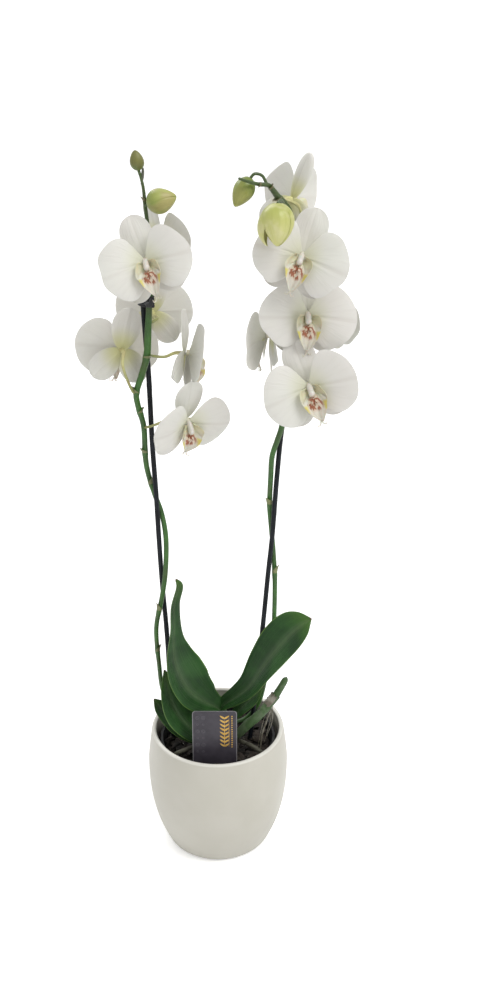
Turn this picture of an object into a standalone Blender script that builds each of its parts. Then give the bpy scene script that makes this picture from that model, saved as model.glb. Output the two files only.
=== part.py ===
"""A white moth orchid with two flower spikes, standing in a glazed cover pot.

The origin is the centre of the pot's flat foot, +Z is up and the flowers face -Y.
All sizes are in metres. A dark nursery pot full of bark stands inside the cover pot;
the crown, the stakes and the label stand in the bark, and leaves, roots and spikes
leave the crown. Each flower hangs on an empty at its centre.
"""
import math

import bmesh
import bpy
from mathutils import Matrix, Vector

# Clearance kept between neighbouring pieces.
GAP = 0.0004

# Cover pot: a bellied cup with a flat foot.
POT_HEIGHT = 0.129
POT_RIM_RADIUS = 0.0660
POT_BELLY_RADIUS = 0.0707
POT_BELLY_HEIGHT = 0.0909
POT_FOOT_RADIUS = 0.0527
POT_WALL = 0.0042
POT_FLOOR = 0.0050
POT_LOWER_POWER = 2.5
POT_UPPER_POWER = 1.3

# Nursery pot: a tapered plastic tub with drain holes.
TUB_HEIGHT = 0.1165
TUB_TOP_RADIUS = 0.0570
TUB_FOOT_RADIUS = 0.0415
TUB_WALL = 0.0012
TUB_BEAD = 0.0009
DRAIN_RADIUS = 0.0040
DRAIN_CIRCLE = 0.0270
DRAIN_COUNT = 5

# Bark filling and the crown standing on it.
BARK_HEIGHT = 0.1080
CROWN_AXIS = Vector((0.003, 0.0, 0.0))
CROWN_TOP = 0.1500
STAKE_RADIUS = 0.0023
STAKE_DEPTH = 0.0500
LABEL_WIDTH = 0.0430
LABEL_HEIGHT = 0.0760
LABEL_THICKNESS = 0.0008
LABEL_TILT = math.radians(5.0)
LABEL_PLACE = Vector((-0.0018, -0.0425, 0.1345))

# Green parts.
LEAF_THICKNESS = 0.0018
LEAF_FOLD = math.radians(18.0)
SPIKE_FOOT_RADIUS = 0.0021
SPIKE_RADIUS = 0.0024
SPIKE_TIP_RADIUS = 0.0012
PEDICEL_RADIUS = 0.0012

# Flower, in its own frame: +X to its left petal's opposite, +Y to the top sepal, +Z to its face.
PETAL_LENGTH = 0.0375
PETAL_LIFT = 0.0018
PETAL_TILT = math.radians(18.0)
PETAL_RAISE = math.radians(14.0)
PETAL_SPREAD = math.radians(74.0)
SEPAL_LENGTHS = (0.036, 0.033, 0.033)
SEPAL_ANGLES = (math.radians(90.0), math.radians(-50.0), math.radians(-130.0))
SEPAL_HALF_WIDTH = 0.0135
SHEET_THICKNESS = 0.0010


def clear_scene():
    for old in list(bpy.data.objects):
        bpy.data.objects.remove(old, do_unlink=True)


def new_collection(name):
    group = bpy.data.collections.new(name)
    bpy.context.scene.collection.children.link(group)
    return group


clear_scene()
PARTS = new_collection("potted_orchid")
CUTTERS = new_collection("cutters")


def material(name, colour, roughness, metallic=0.0):
    """A plain Principled material; one is made for each name and then shared."""
    found = bpy.data.materials.get(name)
    if found:
        return found
    made = bpy.data.materials.new(name)
    made.use_nodes = True
    shader = made.node_tree.nodes["Principled BSDF"]
    shader.inputs["Base Color"].default_value = (*colour, 1.0)
    shader.inputs["Roughness"].default_value = roughness
    shader.inputs["Metallic"].default_value = metallic
    made.diffuse_color = (*colour, 1.0)
    return made


def glaze():
    return material("cream_glaze", (0.62, 0.61, 0.55), 0.30)


def tub_plastic():
    return material("black_tub_plastic", (0.012, 0.013, 0.014), 0.55)


def bark():
    return material("bark", (0.055, 0.035, 0.022), 0.95)


def card():
    return material("label_card", (0.045, 0.042, 0.052), 0.40)


def stake_coating():
    return material("stake_coating", (0.016, 0.022, 0.030), 0.45)


def clip_plastic():
    return material("clip_plastic", (0.010, 0.012, 0.015), 0.35)


def leaf_green():
    return material("leaf_green", (0.035, 0.095, 0.030), 0.38)


def stem_green():
    return material("stem_green", (0.060, 0.150, 0.035), 0.45)


def root_green():
    return material("root_green", (0.17, 0.23, 0.14), 0.60)


def bud_green():
    return material("bud_green", (0.30, 0.34, 0.10), 0.45)


def petal_white():
    return material("petal_white", (0.80, 0.79, 0.73), 0.55)


def lip_cream():
    return material("lip_cream", (0.75, 0.62, 0.38), 0.50)


def new_part(name, mesh, look, group=None):
    """An object in the parts collection, or in the group given."""
    part = bpy.data.objects.new(name, mesh)
    (group or PARTS).objects.link(part)
    part.data.materials.append(look)
    return part


def new_cutter(name, mesh, look):
    """A tool body that a Boolean reads and that is no part itself."""
    cutter = new_part(name, mesh, look, CUTTERS)
    cutter.hide_render = True
    cutter.display_type = "WIRE"
    return cutter


def combine(part, tool, operation):
    step = part.modifiers.new(operation.lower(), "BOOLEAN")
    step.operation = operation
    step.solver = "EXACT"
    step.object = tool


def solidify(part, thickness):
    shell = part.modifiers.new("thickness", "SOLIDIFY")
    shell.thickness = thickness
    shell.offset = 0.0
    shell.use_even_offset = False


def smooth_route(points, steps):
    """Points on a Catmull-Rom curve through the given ones, with steps on each span."""
    ends = [2 * points[0] - points[1], *points, 2 * points[-1] - points[-2]]
    route = []
    for span in range(1, len(ends) - 2):
        before, start, stop, after = ends[span - 1:span + 3]
        for step in range(steps):
            t = step / steps
            bend = (2 * before - 5 * start + 4 * stop - after) * t * t
            twist = (3 * start - 3 * stop + after - before) * t * t * t
            route.append(0.5 * (2 * start + (stop - before) * t + bend + twist))
    route.append(points[-1])
    return route


def tube_mesh(name, points, radii, sides=6):
    """A closed round tube through the points, made as a curve and read back as a mesh."""
    line = bpy.data.curves.new(name, "CURVE")
    line.dimensions = "3D"
    line.bevel_depth = 1.0
    line.bevel_resolution = (sides - 4) // 2
    line.use_fill_caps = True
    spline = line.splines.new("POLY")
    spline.points.add(len(points) - 1)
    for slot, place, radius in zip(spline.points, points, radii):
        slot.co = (*place, 1.0)
        slot.radius = radius
    holder = bpy.data.objects.new(name, line)
    PARTS.objects.link(holder)
    bpy.context.view_layer.update()
    ready = holder.evaluated_get(bpy.context.evaluated_depsgraph_get())
    mesh = bpy.data.meshes.new_from_object(ready)
    bpy.data.objects.remove(holder, do_unlink=True)
    bpy.data.curves.remove(line)
    mesh.name = name
    work = bmesh.new()
    work.from_mesh(mesh)
    bmesh.ops.remove_doubles(work, verts=work.verts, dist=0.00001)
    bmesh.ops.recalc_face_normals(work, faces=work.faces)
    work.to_mesh(mesh)
    work.free()
    mesh.shade_smooth()
    mesh.set_sharp_from_angle(angle=math.radians(50.0))
    return mesh


def revolved(name, profile, steps, look, group=None):
    """A turned body; the profile runs (radius, height) from the axis round to the axis."""
    mesh = bpy.data.meshes.new(name)
    edges = [(i, i + 1) for i in range(len(profile) - 1)]
    mesh.from_pydata([(radius, 0.0, height) for radius, height in profile], edges, [])
    part = new_part(name, mesh, look, group)
    turn = part.modifiers.new("turn", "SCREW")
    turn.axis = "Z"
    turn.steps = steps
    turn.render_steps = steps
    turn.use_merge_vertices = True
    turn.merge_threshold = 0.00001
    turn.use_smooth_shade = True
    return part


def sheet_mesh(name, columns, rows, place):
    """An open sheet: a grid whose (u, v) from 0 to 1 are set in space by place(u, v)."""
    work = bmesh.new()
    bmesh.ops.create_grid(work, x_segments=columns, y_segments=rows, size=0.5)
    for corner in work.verts:
        corner.co = place(corner.co.x + 0.5, corner.co.y + 0.5)
    bmesh.ops.remove_doubles(work, verts=work.verts, dist=0.00001)
    mesh = bpy.data.meshes.new(name)
    work.to_mesh(mesh)
    work.free()
    mesh.shade_smooth()
    return mesh


def blend(values, t):
    """The value at t from 0 to 1 along a list of evenly spread values."""
    reach = min(max(t, 0.0), 1.0) * (len(values) - 1)
    index = min(int(reach), len(values) - 2)
    share = reach - index
    return values[index] * (1.0 - share) + values[index + 1] * share


# ---------------------------------------------------------------- the pots and their filling


def pot_radius(height):
    """Outer radius of the cover pot: one power curve below the belly and one above."""
    if height < POT_BELLY_HEIGHT:
        drop = (POT_BELLY_HEIGHT - height) / POT_BELLY_HEIGHT
        return POT_BELLY_RADIUS - (POT_BELLY_RADIUS - POT_FOOT_RADIUS) * drop ** POT_LOWER_POWER
    rise = (height - POT_BELLY_HEIGHT) / (POT_HEIGHT - POT_BELLY_HEIGHT)
    return POT_BELLY_RADIUS - (POT_BELLY_RADIUS - POT_RIM_RADIUS) * rise ** POT_UPPER_POWER


def cover_pot():
    foot_edge = 0.003
    lip = 0.0015
    outer_heights = [0.118, 0.100, 0.080, 0.055, 0.030, 0.012, foot_edge]
    inner_heights = [POT_FLOOR + 0.004, 0.030, 0.060, 0.091, 0.115]
    profile = [(0.0, POT_FLOOR), (pot_radius(POT_FLOOR) - POT_WALL - 0.004, POT_FLOOR)]
    profile += [(pot_radius(height) - POT_WALL, height) for height in inner_heights]
    profile += [(POT_RIM_RADIUS - POT_WALL, POT_HEIGHT - lip)]
    profile += [(POT_RIM_RADIUS - POT_WALL + lip, POT_HEIGHT)]
    profile += [(POT_RIM_RADIUS - lip, POT_HEIGHT), (POT_RIM_RADIUS, POT_HEIGHT - lip)]
    profile += [(pot_radius(height), height) for height in outer_heights]
    profile += [(POT_FOOT_RADIUS - foot_edge, 0.0), (0.0, 0.0)]
    revolved("cover_pot", profile, 36, glaze())


def tub_radius(height):
    """Outer radius of the nursery pot, straight from foot to top."""
    foot = POT_FLOOR + GAP
    share = (height - foot) / (TUB_HEIGHT - foot)
    return TUB_FOOT_RADIUS + (TUB_TOP_RADIUS - TUB_FOOT_RADIUS) * share


def nursery_pot():
    foot = POT_FLOOR + GAP
    under_bead = TUB_HEIGHT - 0.004
    profile = [(0.0, foot + TUB_WALL), (tub_radius(foot) - TUB_WALL, foot + TUB_WALL)]
    profile += [(TUB_TOP_RADIUS - TUB_WALL, TUB_HEIGHT)]
    profile += [(TUB_TOP_RADIUS + TUB_BEAD, TUB_HEIGHT), (TUB_TOP_RADIUS + TUB_BEAD, under_bead)]
    profile += [(tub_radius(under_bead - 0.001), under_bead - 0.001), (TUB_FOOT_RADIUS, foot)]
    profile += [(0.0, foot)]
    tub = revolved("nursery_pot", profile, 28, tub_plastic())
    work = bmesh.new()
    for number in range(DRAIN_COUNT):
        angle = 2.0 * math.pi * number / DRAIN_COUNT
        spot = Vector((DRAIN_CIRCLE * math.cos(angle), DRAIN_CIRCLE * math.sin(angle), foot))
        bmesh.ops.create_cone(work, cap_ends=True, segments=10, radius1=DRAIN_RADIUS,
                              radius2=DRAIN_RADIUS, depth=0.010, matrix=Matrix.Translation(spot))
    drains = bpy.data.meshes.new("drains")
    work.to_mesh(drains)
    work.free()
    combine(tub, new_cutter("drains", drains, tub_plastic()), "DIFFERENCE")


def growing_medium():
    floor = POT_FLOOR + 2.0 * GAP + TUB_WALL
    edge = BARK_HEIGHT - 0.0040
    slack = TUB_WALL + 2.0 * GAP
    top_radius = tub_radius(edge) - slack
    profile = [(0.0, BARK_HEIGHT), (0.020, BARK_HEIGHT - 0.0006), (0.038, BARK_HEIGHT - 0.0002)]
    profile += [(top_radius - 0.003, BARK_HEIGHT - 0.0010), (top_radius, edge)]
    profile += [(tub_radius(floor) - slack, floor), (0.0, floor)]
    filling = revolved("growing_medium", profile, 28, bark())
    for side, route in (("left", STAKE_LEFT), ("right", STAKE_RIGHT)):
        points = stake_points(route)
        radii = [STAKE_RADIUS + GAP] * len(points)
        points[0] = points[0] - Vector((0.0, 0.0, GAP))
        hole = new_cutter("stake_hole_" + side, tube_mesh("hole_" + side, points, radii, 8), bark())
        combine(filling, hole, "DIFFERENCE")
    slot = new_cutter("label_slot", label_mesh(2.0 * GAP), card())
    slot.location = LABEL_PLACE
    slot.rotation_euler = (-LABEL_TILT, 0.0, 0.0)
    combine(filling, slot, "DIFFERENCE")


def label_mesh(extra):
    """The label card's box, grown by extra in every direction."""
    work = bmesh.new()
    bmesh.ops.create_cube(work, size=1.0)
    size = Vector((LABEL_WIDTH, LABEL_THICKNESS, LABEL_HEIGHT)) + Vector((extra, extra, extra))
    bmesh.ops.scale(work, vec=size, verts=work.verts)
    mesh = bpy.data.meshes.new("label")
    work.to_mesh(mesh)
    work.free()
    return mesh


def plant_label():
    label = new_part("plant_label", label_mesh(0.0), card())
    label.location = LABEL_PLACE
    label.rotation_euler = (-LABEL_TILT, 0.0, 0.0)
    corners = label.modifiers.new("corners", "BEVEL")
    corners.width = 0.0002
    corners.segments = 1


# ---------------------------------------------------------------- stakes and clips

STAKE_LEFT = (
    (-0.0450, 0.0, 0.110), (-0.0464, 0.0, 0.158), (-0.0481, 0.0, 0.234), (-0.0510, 0.0, 0.292),
    (-0.0524, 0.0, 0.336), (-0.0534, 0.0, 0.380), (-0.0551, 0.0, 0.428), (-0.0557, 0.0, 0.470),
    (-0.0562, 0.0, 0.500), (-0.0580, 0.0, 0.543), (-0.0583, 0.0, 0.566),
)
STAKE_RIGHT = (
    (0.0325, 0.0, 0.110), (0.0370, 0.0, 0.158), (0.0442, 0.0, 0.238), (0.0490, 0.0, 0.299),
    (0.0524, 0.0, 0.337), (0.0545, 0.0, 0.372), (0.0562, 0.0, 0.400), (0.0596, 0.0, 0.442),
    (0.0677, 0.0, 0.503), (0.0765, 0.0, 0.568),
)


def stake_points(route):
    """The stake's own points, run on into the bark at the slope of its lowest span."""
    points = [Vector(point) for point in route]
    slope = (points[0] - points[1]).normalized()
    return [points[0] + slope * STAKE_DEPTH, *points]


def stake(name, route):
    points = stake_points(route)
    radii = [STAKE_RADIUS] * len(points)
    new_part(name, tube_mesh(name, points, radii, 8), stake_coating())


def clip(name, place, turn, tab_side):
    """A claw clip: an oval band round stake and spike, with a finger tab on one side."""
    half_long = 0.0078
    half_short = 0.0036
    height = 0.0090
    work = bmesh.new()
    bmesh.ops.create_cone(work, cap_ends=False, segments=20, radius1=1.0, radius2=1.0, depth=1.0)
    bmesh.ops.scale(work, vec=Vector((half_long, half_short, height)), verts=work.verts)
    mesh = bpy.data.meshes.new(name)
    work.to_mesh(mesh)
    work.free()
    band = new_part(name, mesh, clip_plastic())
    band.location = place
    band.rotation_euler = (0.0, 0.0, turn)
    shell = band.modifiers.new("thickness", "SOLIDIFY")
    shell.thickness = 0.0011
    shell.offset = 1.0
    tab_root = Vector((half_long * tab_side * 0.55, -half_short - 0.0008, 0.0))
    tab_points = [tab_root, tab_root + Vector((0.0045 * tab_side, -0.0012, -0.0012)),
                  tab_root + Vector((0.0085 * tab_side, -0.0018, 0.0005)),
                  tab_root + Vector((0.0100 * tab_side, -0.0018, 0.0045))]
    tab = new_cutter(name + "_tab", tube_mesh(name + "_tab", tab_points,
                                              (0.0017, 0.0019, 0.0018, 0.0013), 6), clip_plastic())
    tab.location = place
    tab.rotation_euler = (0.0, 0.0, turn)
    combine(band, tab, "UNION")


# ---------------------------------------------------------------- crown, spikes and roots

SPIKE_LEFT = (
    (-0.0060, 0.005, 0.1210), (-0.0280, 0.011, 0.1240), (-0.0470, 0.010, 0.1400),
    (-0.0550, 0.005, 0.1680), (-0.0572, 0.003, 0.1990), (-0.0583, -0.001, 0.2290),
    (-0.0570, -0.004, 0.2500), (-0.0511, -0.0058, 0.2780), (-0.0470, -0.0048, 0.3050),
    (-0.0459, 0.000, 0.3360), (-0.0492, 0.0045, 0.3590), (-0.0551, 0.0058, 0.3785),
    (-0.0605, 0.0050, 0.4005), (-0.0622, 0.0035, 0.4180), (-0.0622, 0.0010, 0.4460),
    (-0.0662, -0.0025, 0.4672), (-0.0667, -0.0045, 0.4797), (-0.0611, -0.0062, 0.4963),
    (-0.0562, -0.0062, 0.5131), (-0.0545, -0.0060, 0.5340), (-0.0531, -0.0057, 0.5510),
    (-0.0512, -0.0052, 0.5806), (-0.0516, -0.0045, 0.6150), (-0.0530, -0.0060, 0.6373),
    (-0.0539, -0.0080, 0.6510), (-0.0560, -0.0100, 0.6615),
)
SPIKE_RIGHT = (
    (0.0125, 0.006, 0.1240), (0.0300, 0.012, 0.1290), (0.0430, 0.012, 0.1510),
    (0.0503, 0.009, 0.1938), (0.0548, 0.006, 0.2238), (0.0556, 0.004, 0.2500),
    (0.0557, 0.003, 0.2907), (0.0541, 0.0056, 0.3191), (0.0515, 0.0060, 0.3479),
    (0.0499, 0.004, 0.3701), (0.0505, 0.000, 0.3990), (0.0514, -0.0030, 0.4193),
    (0.0555, -0.0052, 0.4349), (0.0597, -0.0058, 0.4500), (0.0651, -0.0062, 0.4866),
    (0.0703, -0.0062, 0.5261), (0.0714, -0.0062, 0.5559), (0.0696, -0.0070, 0.5972),
    (0.0640, -0.0100, 0.6269), (0.0581, -0.0130, 0.6382), (0.0531, -0.0160, 0.6439),
    (0.0482, -0.0190, 0.6503), (0.0450, -0.0220, 0.6535), (0.0371, -0.0270, 0.6548),
    (0.0286, -0.0325, 0.6575), (0.0217, -0.0360, 0.6601),
)
ROOT_GREEN = (
    (0.0110, -0.0080, 0.1180), (0.0180, -0.0160, 0.1260), (0.0289, -0.0215, 0.1426),
    (0.0411, -0.0240, 0.1571), (0.0499, -0.0220, 0.1675), (0.0575, -0.0180, 0.1760),
    (0.0682, -0.0140, 0.1943),
)
ROOT_DRY = (
    (0.0525, -0.0130, 0.1600), (0.0515, -0.0115, 0.1510), (0.0484, -0.0110, 0.1390),
    (0.0445, -0.0140, 0.1260), (0.0425, -0.0180, 0.1095),
)


def crown():
    foot = BARK_HEIGHT + GAP
    profile = [(0.0, CROWN_TOP), (0.0035, CROWN_TOP), (0.0058, CROWN_TOP - 0.006)]
    profile += [(0.0070, CROWN_TOP - 0.018), (0.0068, foot + 0.006), (0.0075, foot), (0.0, foot)]
    stub = revolved("crown", profile, 16, stem_green())
    stub.location = CROWN_AXIS


def spike(name, route):
    """A flower stem, thickest in the middle and thin at the tip."""
    points = smooth_route([Vector(point) for point in route], 2)
    widths = (SPIKE_FOOT_RADIUS, SPIKE_RADIUS, SPIKE_RADIUS, SPIKE_TIP_RADIUS)
    last = len(points) - 1
    radii = [blend(widths, index / last) for index in range(len(points))]
    new_part(name, tube_mesh(name, points, radii, 6), stem_green())


def root(name, route, widths, look):
    points = smooth_route([Vector(point) for point in route], 2)
    last = len(points) - 1
    radii = [blend(widths, index / last) for index in range(len(points))]
    new_part(name, tube_mesh(name, points, radii, 8), look)


# ---------------------------------------------------------------- leaves

# Each leaf: midrib points, half widths along it, and the direction of its nearer edge.
NEAR_LEFT = Vector((-0.58, -0.77, -0.26))
NEAR_RIGHT = Vector((0.45, -0.77, -0.45))
LEAVES = {
    "leaf_upper_left": (
        ((-0.0025, -0.0080, 0.1560), (-0.0119, -0.0120, 0.1639), (-0.0261, -0.0180, 0.1809),
         (-0.0369, -0.0210, 0.2058), (-0.0406, -0.0210, 0.2294), (-0.0397, -0.0190, 0.2502),
         (-0.0387, -0.0160, 0.2755), (-0.0348, -0.0150, 0.3004)),
        (0.0040, 0.0120, 0.0210, 0.0235, 0.0180, 0.0080, 0.0045, 0.0012), NEAR_LEFT),
    "leaf_upper_right": (
        ((0.0085, -0.0070, 0.1590), (0.0186, -0.0120, 0.1698), (0.0323, -0.0170, 0.1860),
         (0.0456, -0.0200, 0.2108), (0.0587, -0.0210, 0.2316), (0.0718, -0.0200, 0.2475),
         (0.0820, -0.0190, 0.2567), (0.0899, -0.0180, 0.2621)),
        (0.0040, 0.0110, 0.0165, 0.0205, 0.0220, 0.0205, 0.0140, 0.0020), NEAR_RIGHT),
    "leaf_lower_left": (
        ((-0.0110, -0.0130, 0.1200), (-0.0249, -0.0215, 0.1387), (-0.0390, -0.0235, 0.1600),
         (-0.0465, -0.0200, 0.1805), (-0.0506, -0.0140, 0.2025)),
        (0.0050, 0.0110, 0.0140, 0.0110, 0.0015), NEAR_LEFT),
    "leaf_lowest_left": (
        ((-0.0150, -0.0075, 0.1160), (-0.0254, -0.0110, 0.1235), (-0.0420, -0.0110, 0.1375),
         (-0.0560, -0.0090, 0.1545), (-0.0624, -0.0080, 0.1646)),
        (0.0040, 0.0075, 0.0090, 0.0075, 0.0015), NEAR_LEFT),
    "leaf_lower_right": (
        ((0.0160, -0.0060, 0.1420), (0.0245, -0.0100, 0.1570), (0.0362, -0.0120, 0.1710),
         (0.0450, -0.0125, 0.1825)),
        (0.0040, 0.0085, 0.0085, 0.0015), NEAR_RIGHT),
}


def leaf(name, midrib, half_widths, near_side):
    """A strap leaf: a sheet swept along its midrib, both halves raised about the fold."""
    route = smooth_route([Vector(point) for point in midrib], 4)
    last = len(route) - 1

    def place(u, v):
        along = u * last
        index = min(int(along), last - 1)
        spot = route[index].lerp(route[index + 1], along - index)
        heading = (route[index + 1] - route[index]).normalized()
        side = (near_side - heading * near_side.dot(heading)).normalized()
        face = heading.cross(side) * (1.0 if near_side.x < 0.0 else -1.0)
        across = 2.0 * v - 1.0
        reach = blend(half_widths, u) * abs(across)
        outward = side * math.copysign(math.cos(LEAF_FOLD), across)
        return spot + (outward + face * math.sin(LEAF_FOLD)) * reach

    blade = new_part(name, sheet_mesh(name, 10, 4, place), leaf_green())
    solidify(blade, LEAF_THICKNESS)


# ---------------------------------------------------------------- buds


def bud_mesh(name, length, radius, tip_power):
    """An egg along +Z from 0 to length: widest below the middle, with a pointed tip."""
    work = bmesh.new()
    bmesh.ops.create_uvsphere(work, u_segments=10, v_segments=8, radius=1.0)
    for corner in work.verts:
        height = 0.5 + 0.5 * corner.co.z
        girth = radius * (1.0 - 0.45 * height ** tip_power)
        corner.co = Vector((corner.co.x * girth, corner.co.y * girth, height * length))
    mesh = bpy.data.meshes.new(name)
    work.to_mesh(mesh)
    work.free()
    mesh.shade_smooth()
    return mesh


def bud(name, foot, tip, radius, tip_power, stalk=()):
    """A bud from foot to tip; a stalk, where given, is a list of points ending at the foot."""
    foot = Vector(foot)
    axis = Vector(tip) - foot
    part = new_part(name, bud_mesh(name, axis.length, radius, tip_power), bud_green())
    part.matrix_world = Matrix.Translation(foot) @ axis.to_track_quat("Z", "Y").to_matrix().to_4x4()
    if stalk:
        inside = foot + axis * 0.3
        points = smooth_route([Vector(point) for point in stalk] + [inside], 3)
        radii = [PEDICEL_RADIUS] * len(points)
        stem = new_cutter(name + "_stalk", tube_mesh(name + "_stalk", points, radii), bud_green())
        combine(part, stem, "UNION")


# ---------------------------------------------------------------- flowers

# Each flower: centre, turn to its left or right, lift of its face, roll, size and stalk,
# whose points run from the spike to behind the flower. Angles are in degrees.
FLOWERS = {
    "flower_left_1": ((-0.0513, -0.034, 0.5964), 0, 10, 18, 1.00,
                      ((-0.0512, -0.0085, 0.581), (-0.0513, -0.016, 0.587))),
    "flower_left_2": ((-0.0450, 0.016, 0.6055), 125, 10, -2, 0.92,
                      ((-0.0490, -0.0025, 0.608), (-0.0460, 0.005, 0.602))),
    "flower_left_3": ((-0.0793, 0.004, 0.5150), -160, 0, 12, 1.00,
                      ((-0.0699, -0.0074, 0.482), (-0.0750, -0.010, 0.497), (-0.0770, -0.009, 0.507))),
    "flower_left_4": ((-0.0235, 0.008, 0.5105), 78, 0, -24, 1.02,
                      ((-0.0533, -0.0062, 0.513), (-0.0420, -0.004, 0.511))),
    "flower_left_5": ((-0.0242, -0.010, 0.4560), 34, -20, 0, 1.04,
                      ((-0.0603, -0.0014, 0.446), (-0.0555, -0.0062, 0.449), (-0.0430, -0.009, 0.455))),
    "flower_left_6": ((-0.0540, 0.038, 0.5400), 178, 0, 0, 0.95,
                      ((-0.0505, -0.0045, 0.540), (-0.0475, 0.010, 0.541))),
    "flower_right_1": ((0.0650, 0.006, 0.6400), 150, 0, 12, 1.00,
                       ((0.0714, -0.0095, 0.607), (0.0722, -0.011, 0.622), (0.0700, -0.011, 0.636))),
    "flower_right_2": ((0.0719, -0.036, 0.6012), -5, 10, -17, 1.03,
                       ((0.0703, -0.0104, 0.590), (0.0715, -0.016, 0.594))),
    "flower_right_3": ((0.0780, -0.022, 0.5512), 5, 10, -3, 1.05,
                       ((0.0735, -0.0094, 0.547), (0.0752, -0.0110, 0.5475))),
    "flower_right_4": ((0.0800, -0.041, 0.4964), 0, 8, 20, 1.08,
                       ((0.0680, -0.0085, 0.488), (0.0760, -0.015, 0.489))),
    "flower_right_5": ((0.0485, -0.005, 0.5290), -96, 0, 0, 1.00,
                       ((0.0671, -0.0062, 0.526), (0.0640, -0.0056, 0.527))),
    "flower_right_6": ((0.0975, 0.022, 0.5360), 140, 0, 0, 0.80,
                       ((0.0740, -0.0080, 0.540), (0.0840, -0.004, 0.536), (0.0915, 0.007, 0.531))),
}


def flower_frame(centre, turn, lift, roll):
    """World matrix of a flower: +Z along its facing, +Y towards its top sepal."""
    turn = math.radians(turn)
    lift = math.radians(lift)
    facing = Vector((math.sin(turn) * math.cos(lift), -math.cos(turn) * math.cos(lift),
                     math.sin(lift)))
    upward = (Vector((0.0, 0.0, 1.0)) - facing * facing.z).normalized()
    rightward = upward.cross(facing)
    axes = Matrix((rightward, upward, facing)).transposed()
    spin = Matrix.Rotation(math.radians(roll), 3, "Z")
    return Matrix.Translation(centre) @ (axes @ spin).to_4x4()


def sepal_radius(angle):
    """Reach of the three sepals from the centre: the widest of three ovals through it."""
    reach = 0.004
    for direction, length in zip(SEPAL_ANGLES, SEPAL_LENGTHS):
        cosine = math.cos(angle - direction)
        sine = math.sin(angle - direction)
        if cosine > 0.0:
            spread = (cosine * 2.0 / length) ** 2 + (sine / SEPAL_HALF_WIDTH) ** 2
            reach = max(reach, (4.0 * cosine / length) / spread)
    return reach


def sepal_point(u, v):
    """The sepal star: u runs round it, crowded onto the sepals, and v out from the centre."""
    turns = (-180.0, -150.0, -130.0, -110.0, -90.0, -70.0, -50.0, -30.0, 0.0, 30.0,
             55.0, 72.0, 90.0, 108.0, 125.0, 150.0, 180.0)
    angle = math.radians(blend(turns, u))
    reach = sepal_radius(angle) * v
    return Vector((reach * math.cos(angle), reach * math.sin(angle), -0.03 * reach * v))


def petal_point(u, v):
    """The right petal: a fan from a short root edge on the mirror plane, tilted forward."""
    across = 2.0 * v - 1.0
    bulge = 0.80 + 0.20 * math.sin(math.pi * u)
    angle = PETAL_RAISE + PETAL_SPREAD * across * bulge
    reach = PETAL_LENGTH * u * (1.0 - 0.30 * abs(across) ** 2.6)
    x = reach * math.cos(angle)
    y = (0.001 + 0.0035 * across) * (1.0 - u) + reach * math.sin(angle)
    return Vector((x * math.cos(PETAL_TILT), y, PETAL_LIFT + x * math.sin(PETAL_TILT)))


def lip_mesh(name):
    """Column and lip in one closed tube: over the face, forward and down to the lip's tip."""
    points = [Vector(point) for point in (
        (0.0, 0.0045, 0.0080), (0.0, 0.0, 0.0062), (0.0, -0.0045, 0.0085),
        (0.0, -0.0095, 0.0110), (0.0, -0.0160, 0.0095))]
    return tube_mesh(name, points, (0.0022, 0.0026, 0.0042, 0.0050, 0.0014), 6)


def flower(name, centre, turn, lift, roll, size, stalk):
    frame = flower_frame(centre, turn, lift, roll)
    holder = bpy.data.objects.new(name, None)
    PARTS.objects.link(holder)
    holder.matrix_world = frame

    def scaled(mesh):
        mesh.transform(Matrix.Scale(size, 4))
        return mesh

    star = new_part(name + "_sepals", scaled(sheet_mesh(name + "_sepals", 16, 2, sepal_point)),
                    petal_white())
    star.parent = holder
    solidify(star, SHEET_THICKNESS)
    inward = frame.inverted()
    behind = Vector((0.0, 0.0, -0.010))
    route = [inward @ Vector(point) for point in stalk] + [behind, Vector((0.0, 0.0, 0.0))]
    points = smooth_route(route, 2)
    stem = new_cutter(name + "_stalk", tube_mesh(name + "_stalk", points,
                                                 [PEDICEL_RADIUS] * len(points)), petal_white())
    stem.parent = holder
    combine(star, stem, "UNION")

    petals = new_part(name + "_petals", scaled(sheet_mesh(name + "_petals", 4, 6, petal_point)),
                      petal_white())
    petals.parent = holder
    halves = petals.modifiers.new("other_petal", "MIRROR")
    halves.use_axis = (True, False, False)
    halves.merge_threshold = 0.00001
    solidify(petals, SHEET_THICKNESS)

    lip = new_part(name + "_lip", scaled(lip_mesh(name + "_lip")), lip_cream())
    lip.parent = holder


# ---------------------------------------------------------------- the whole plant


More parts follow.
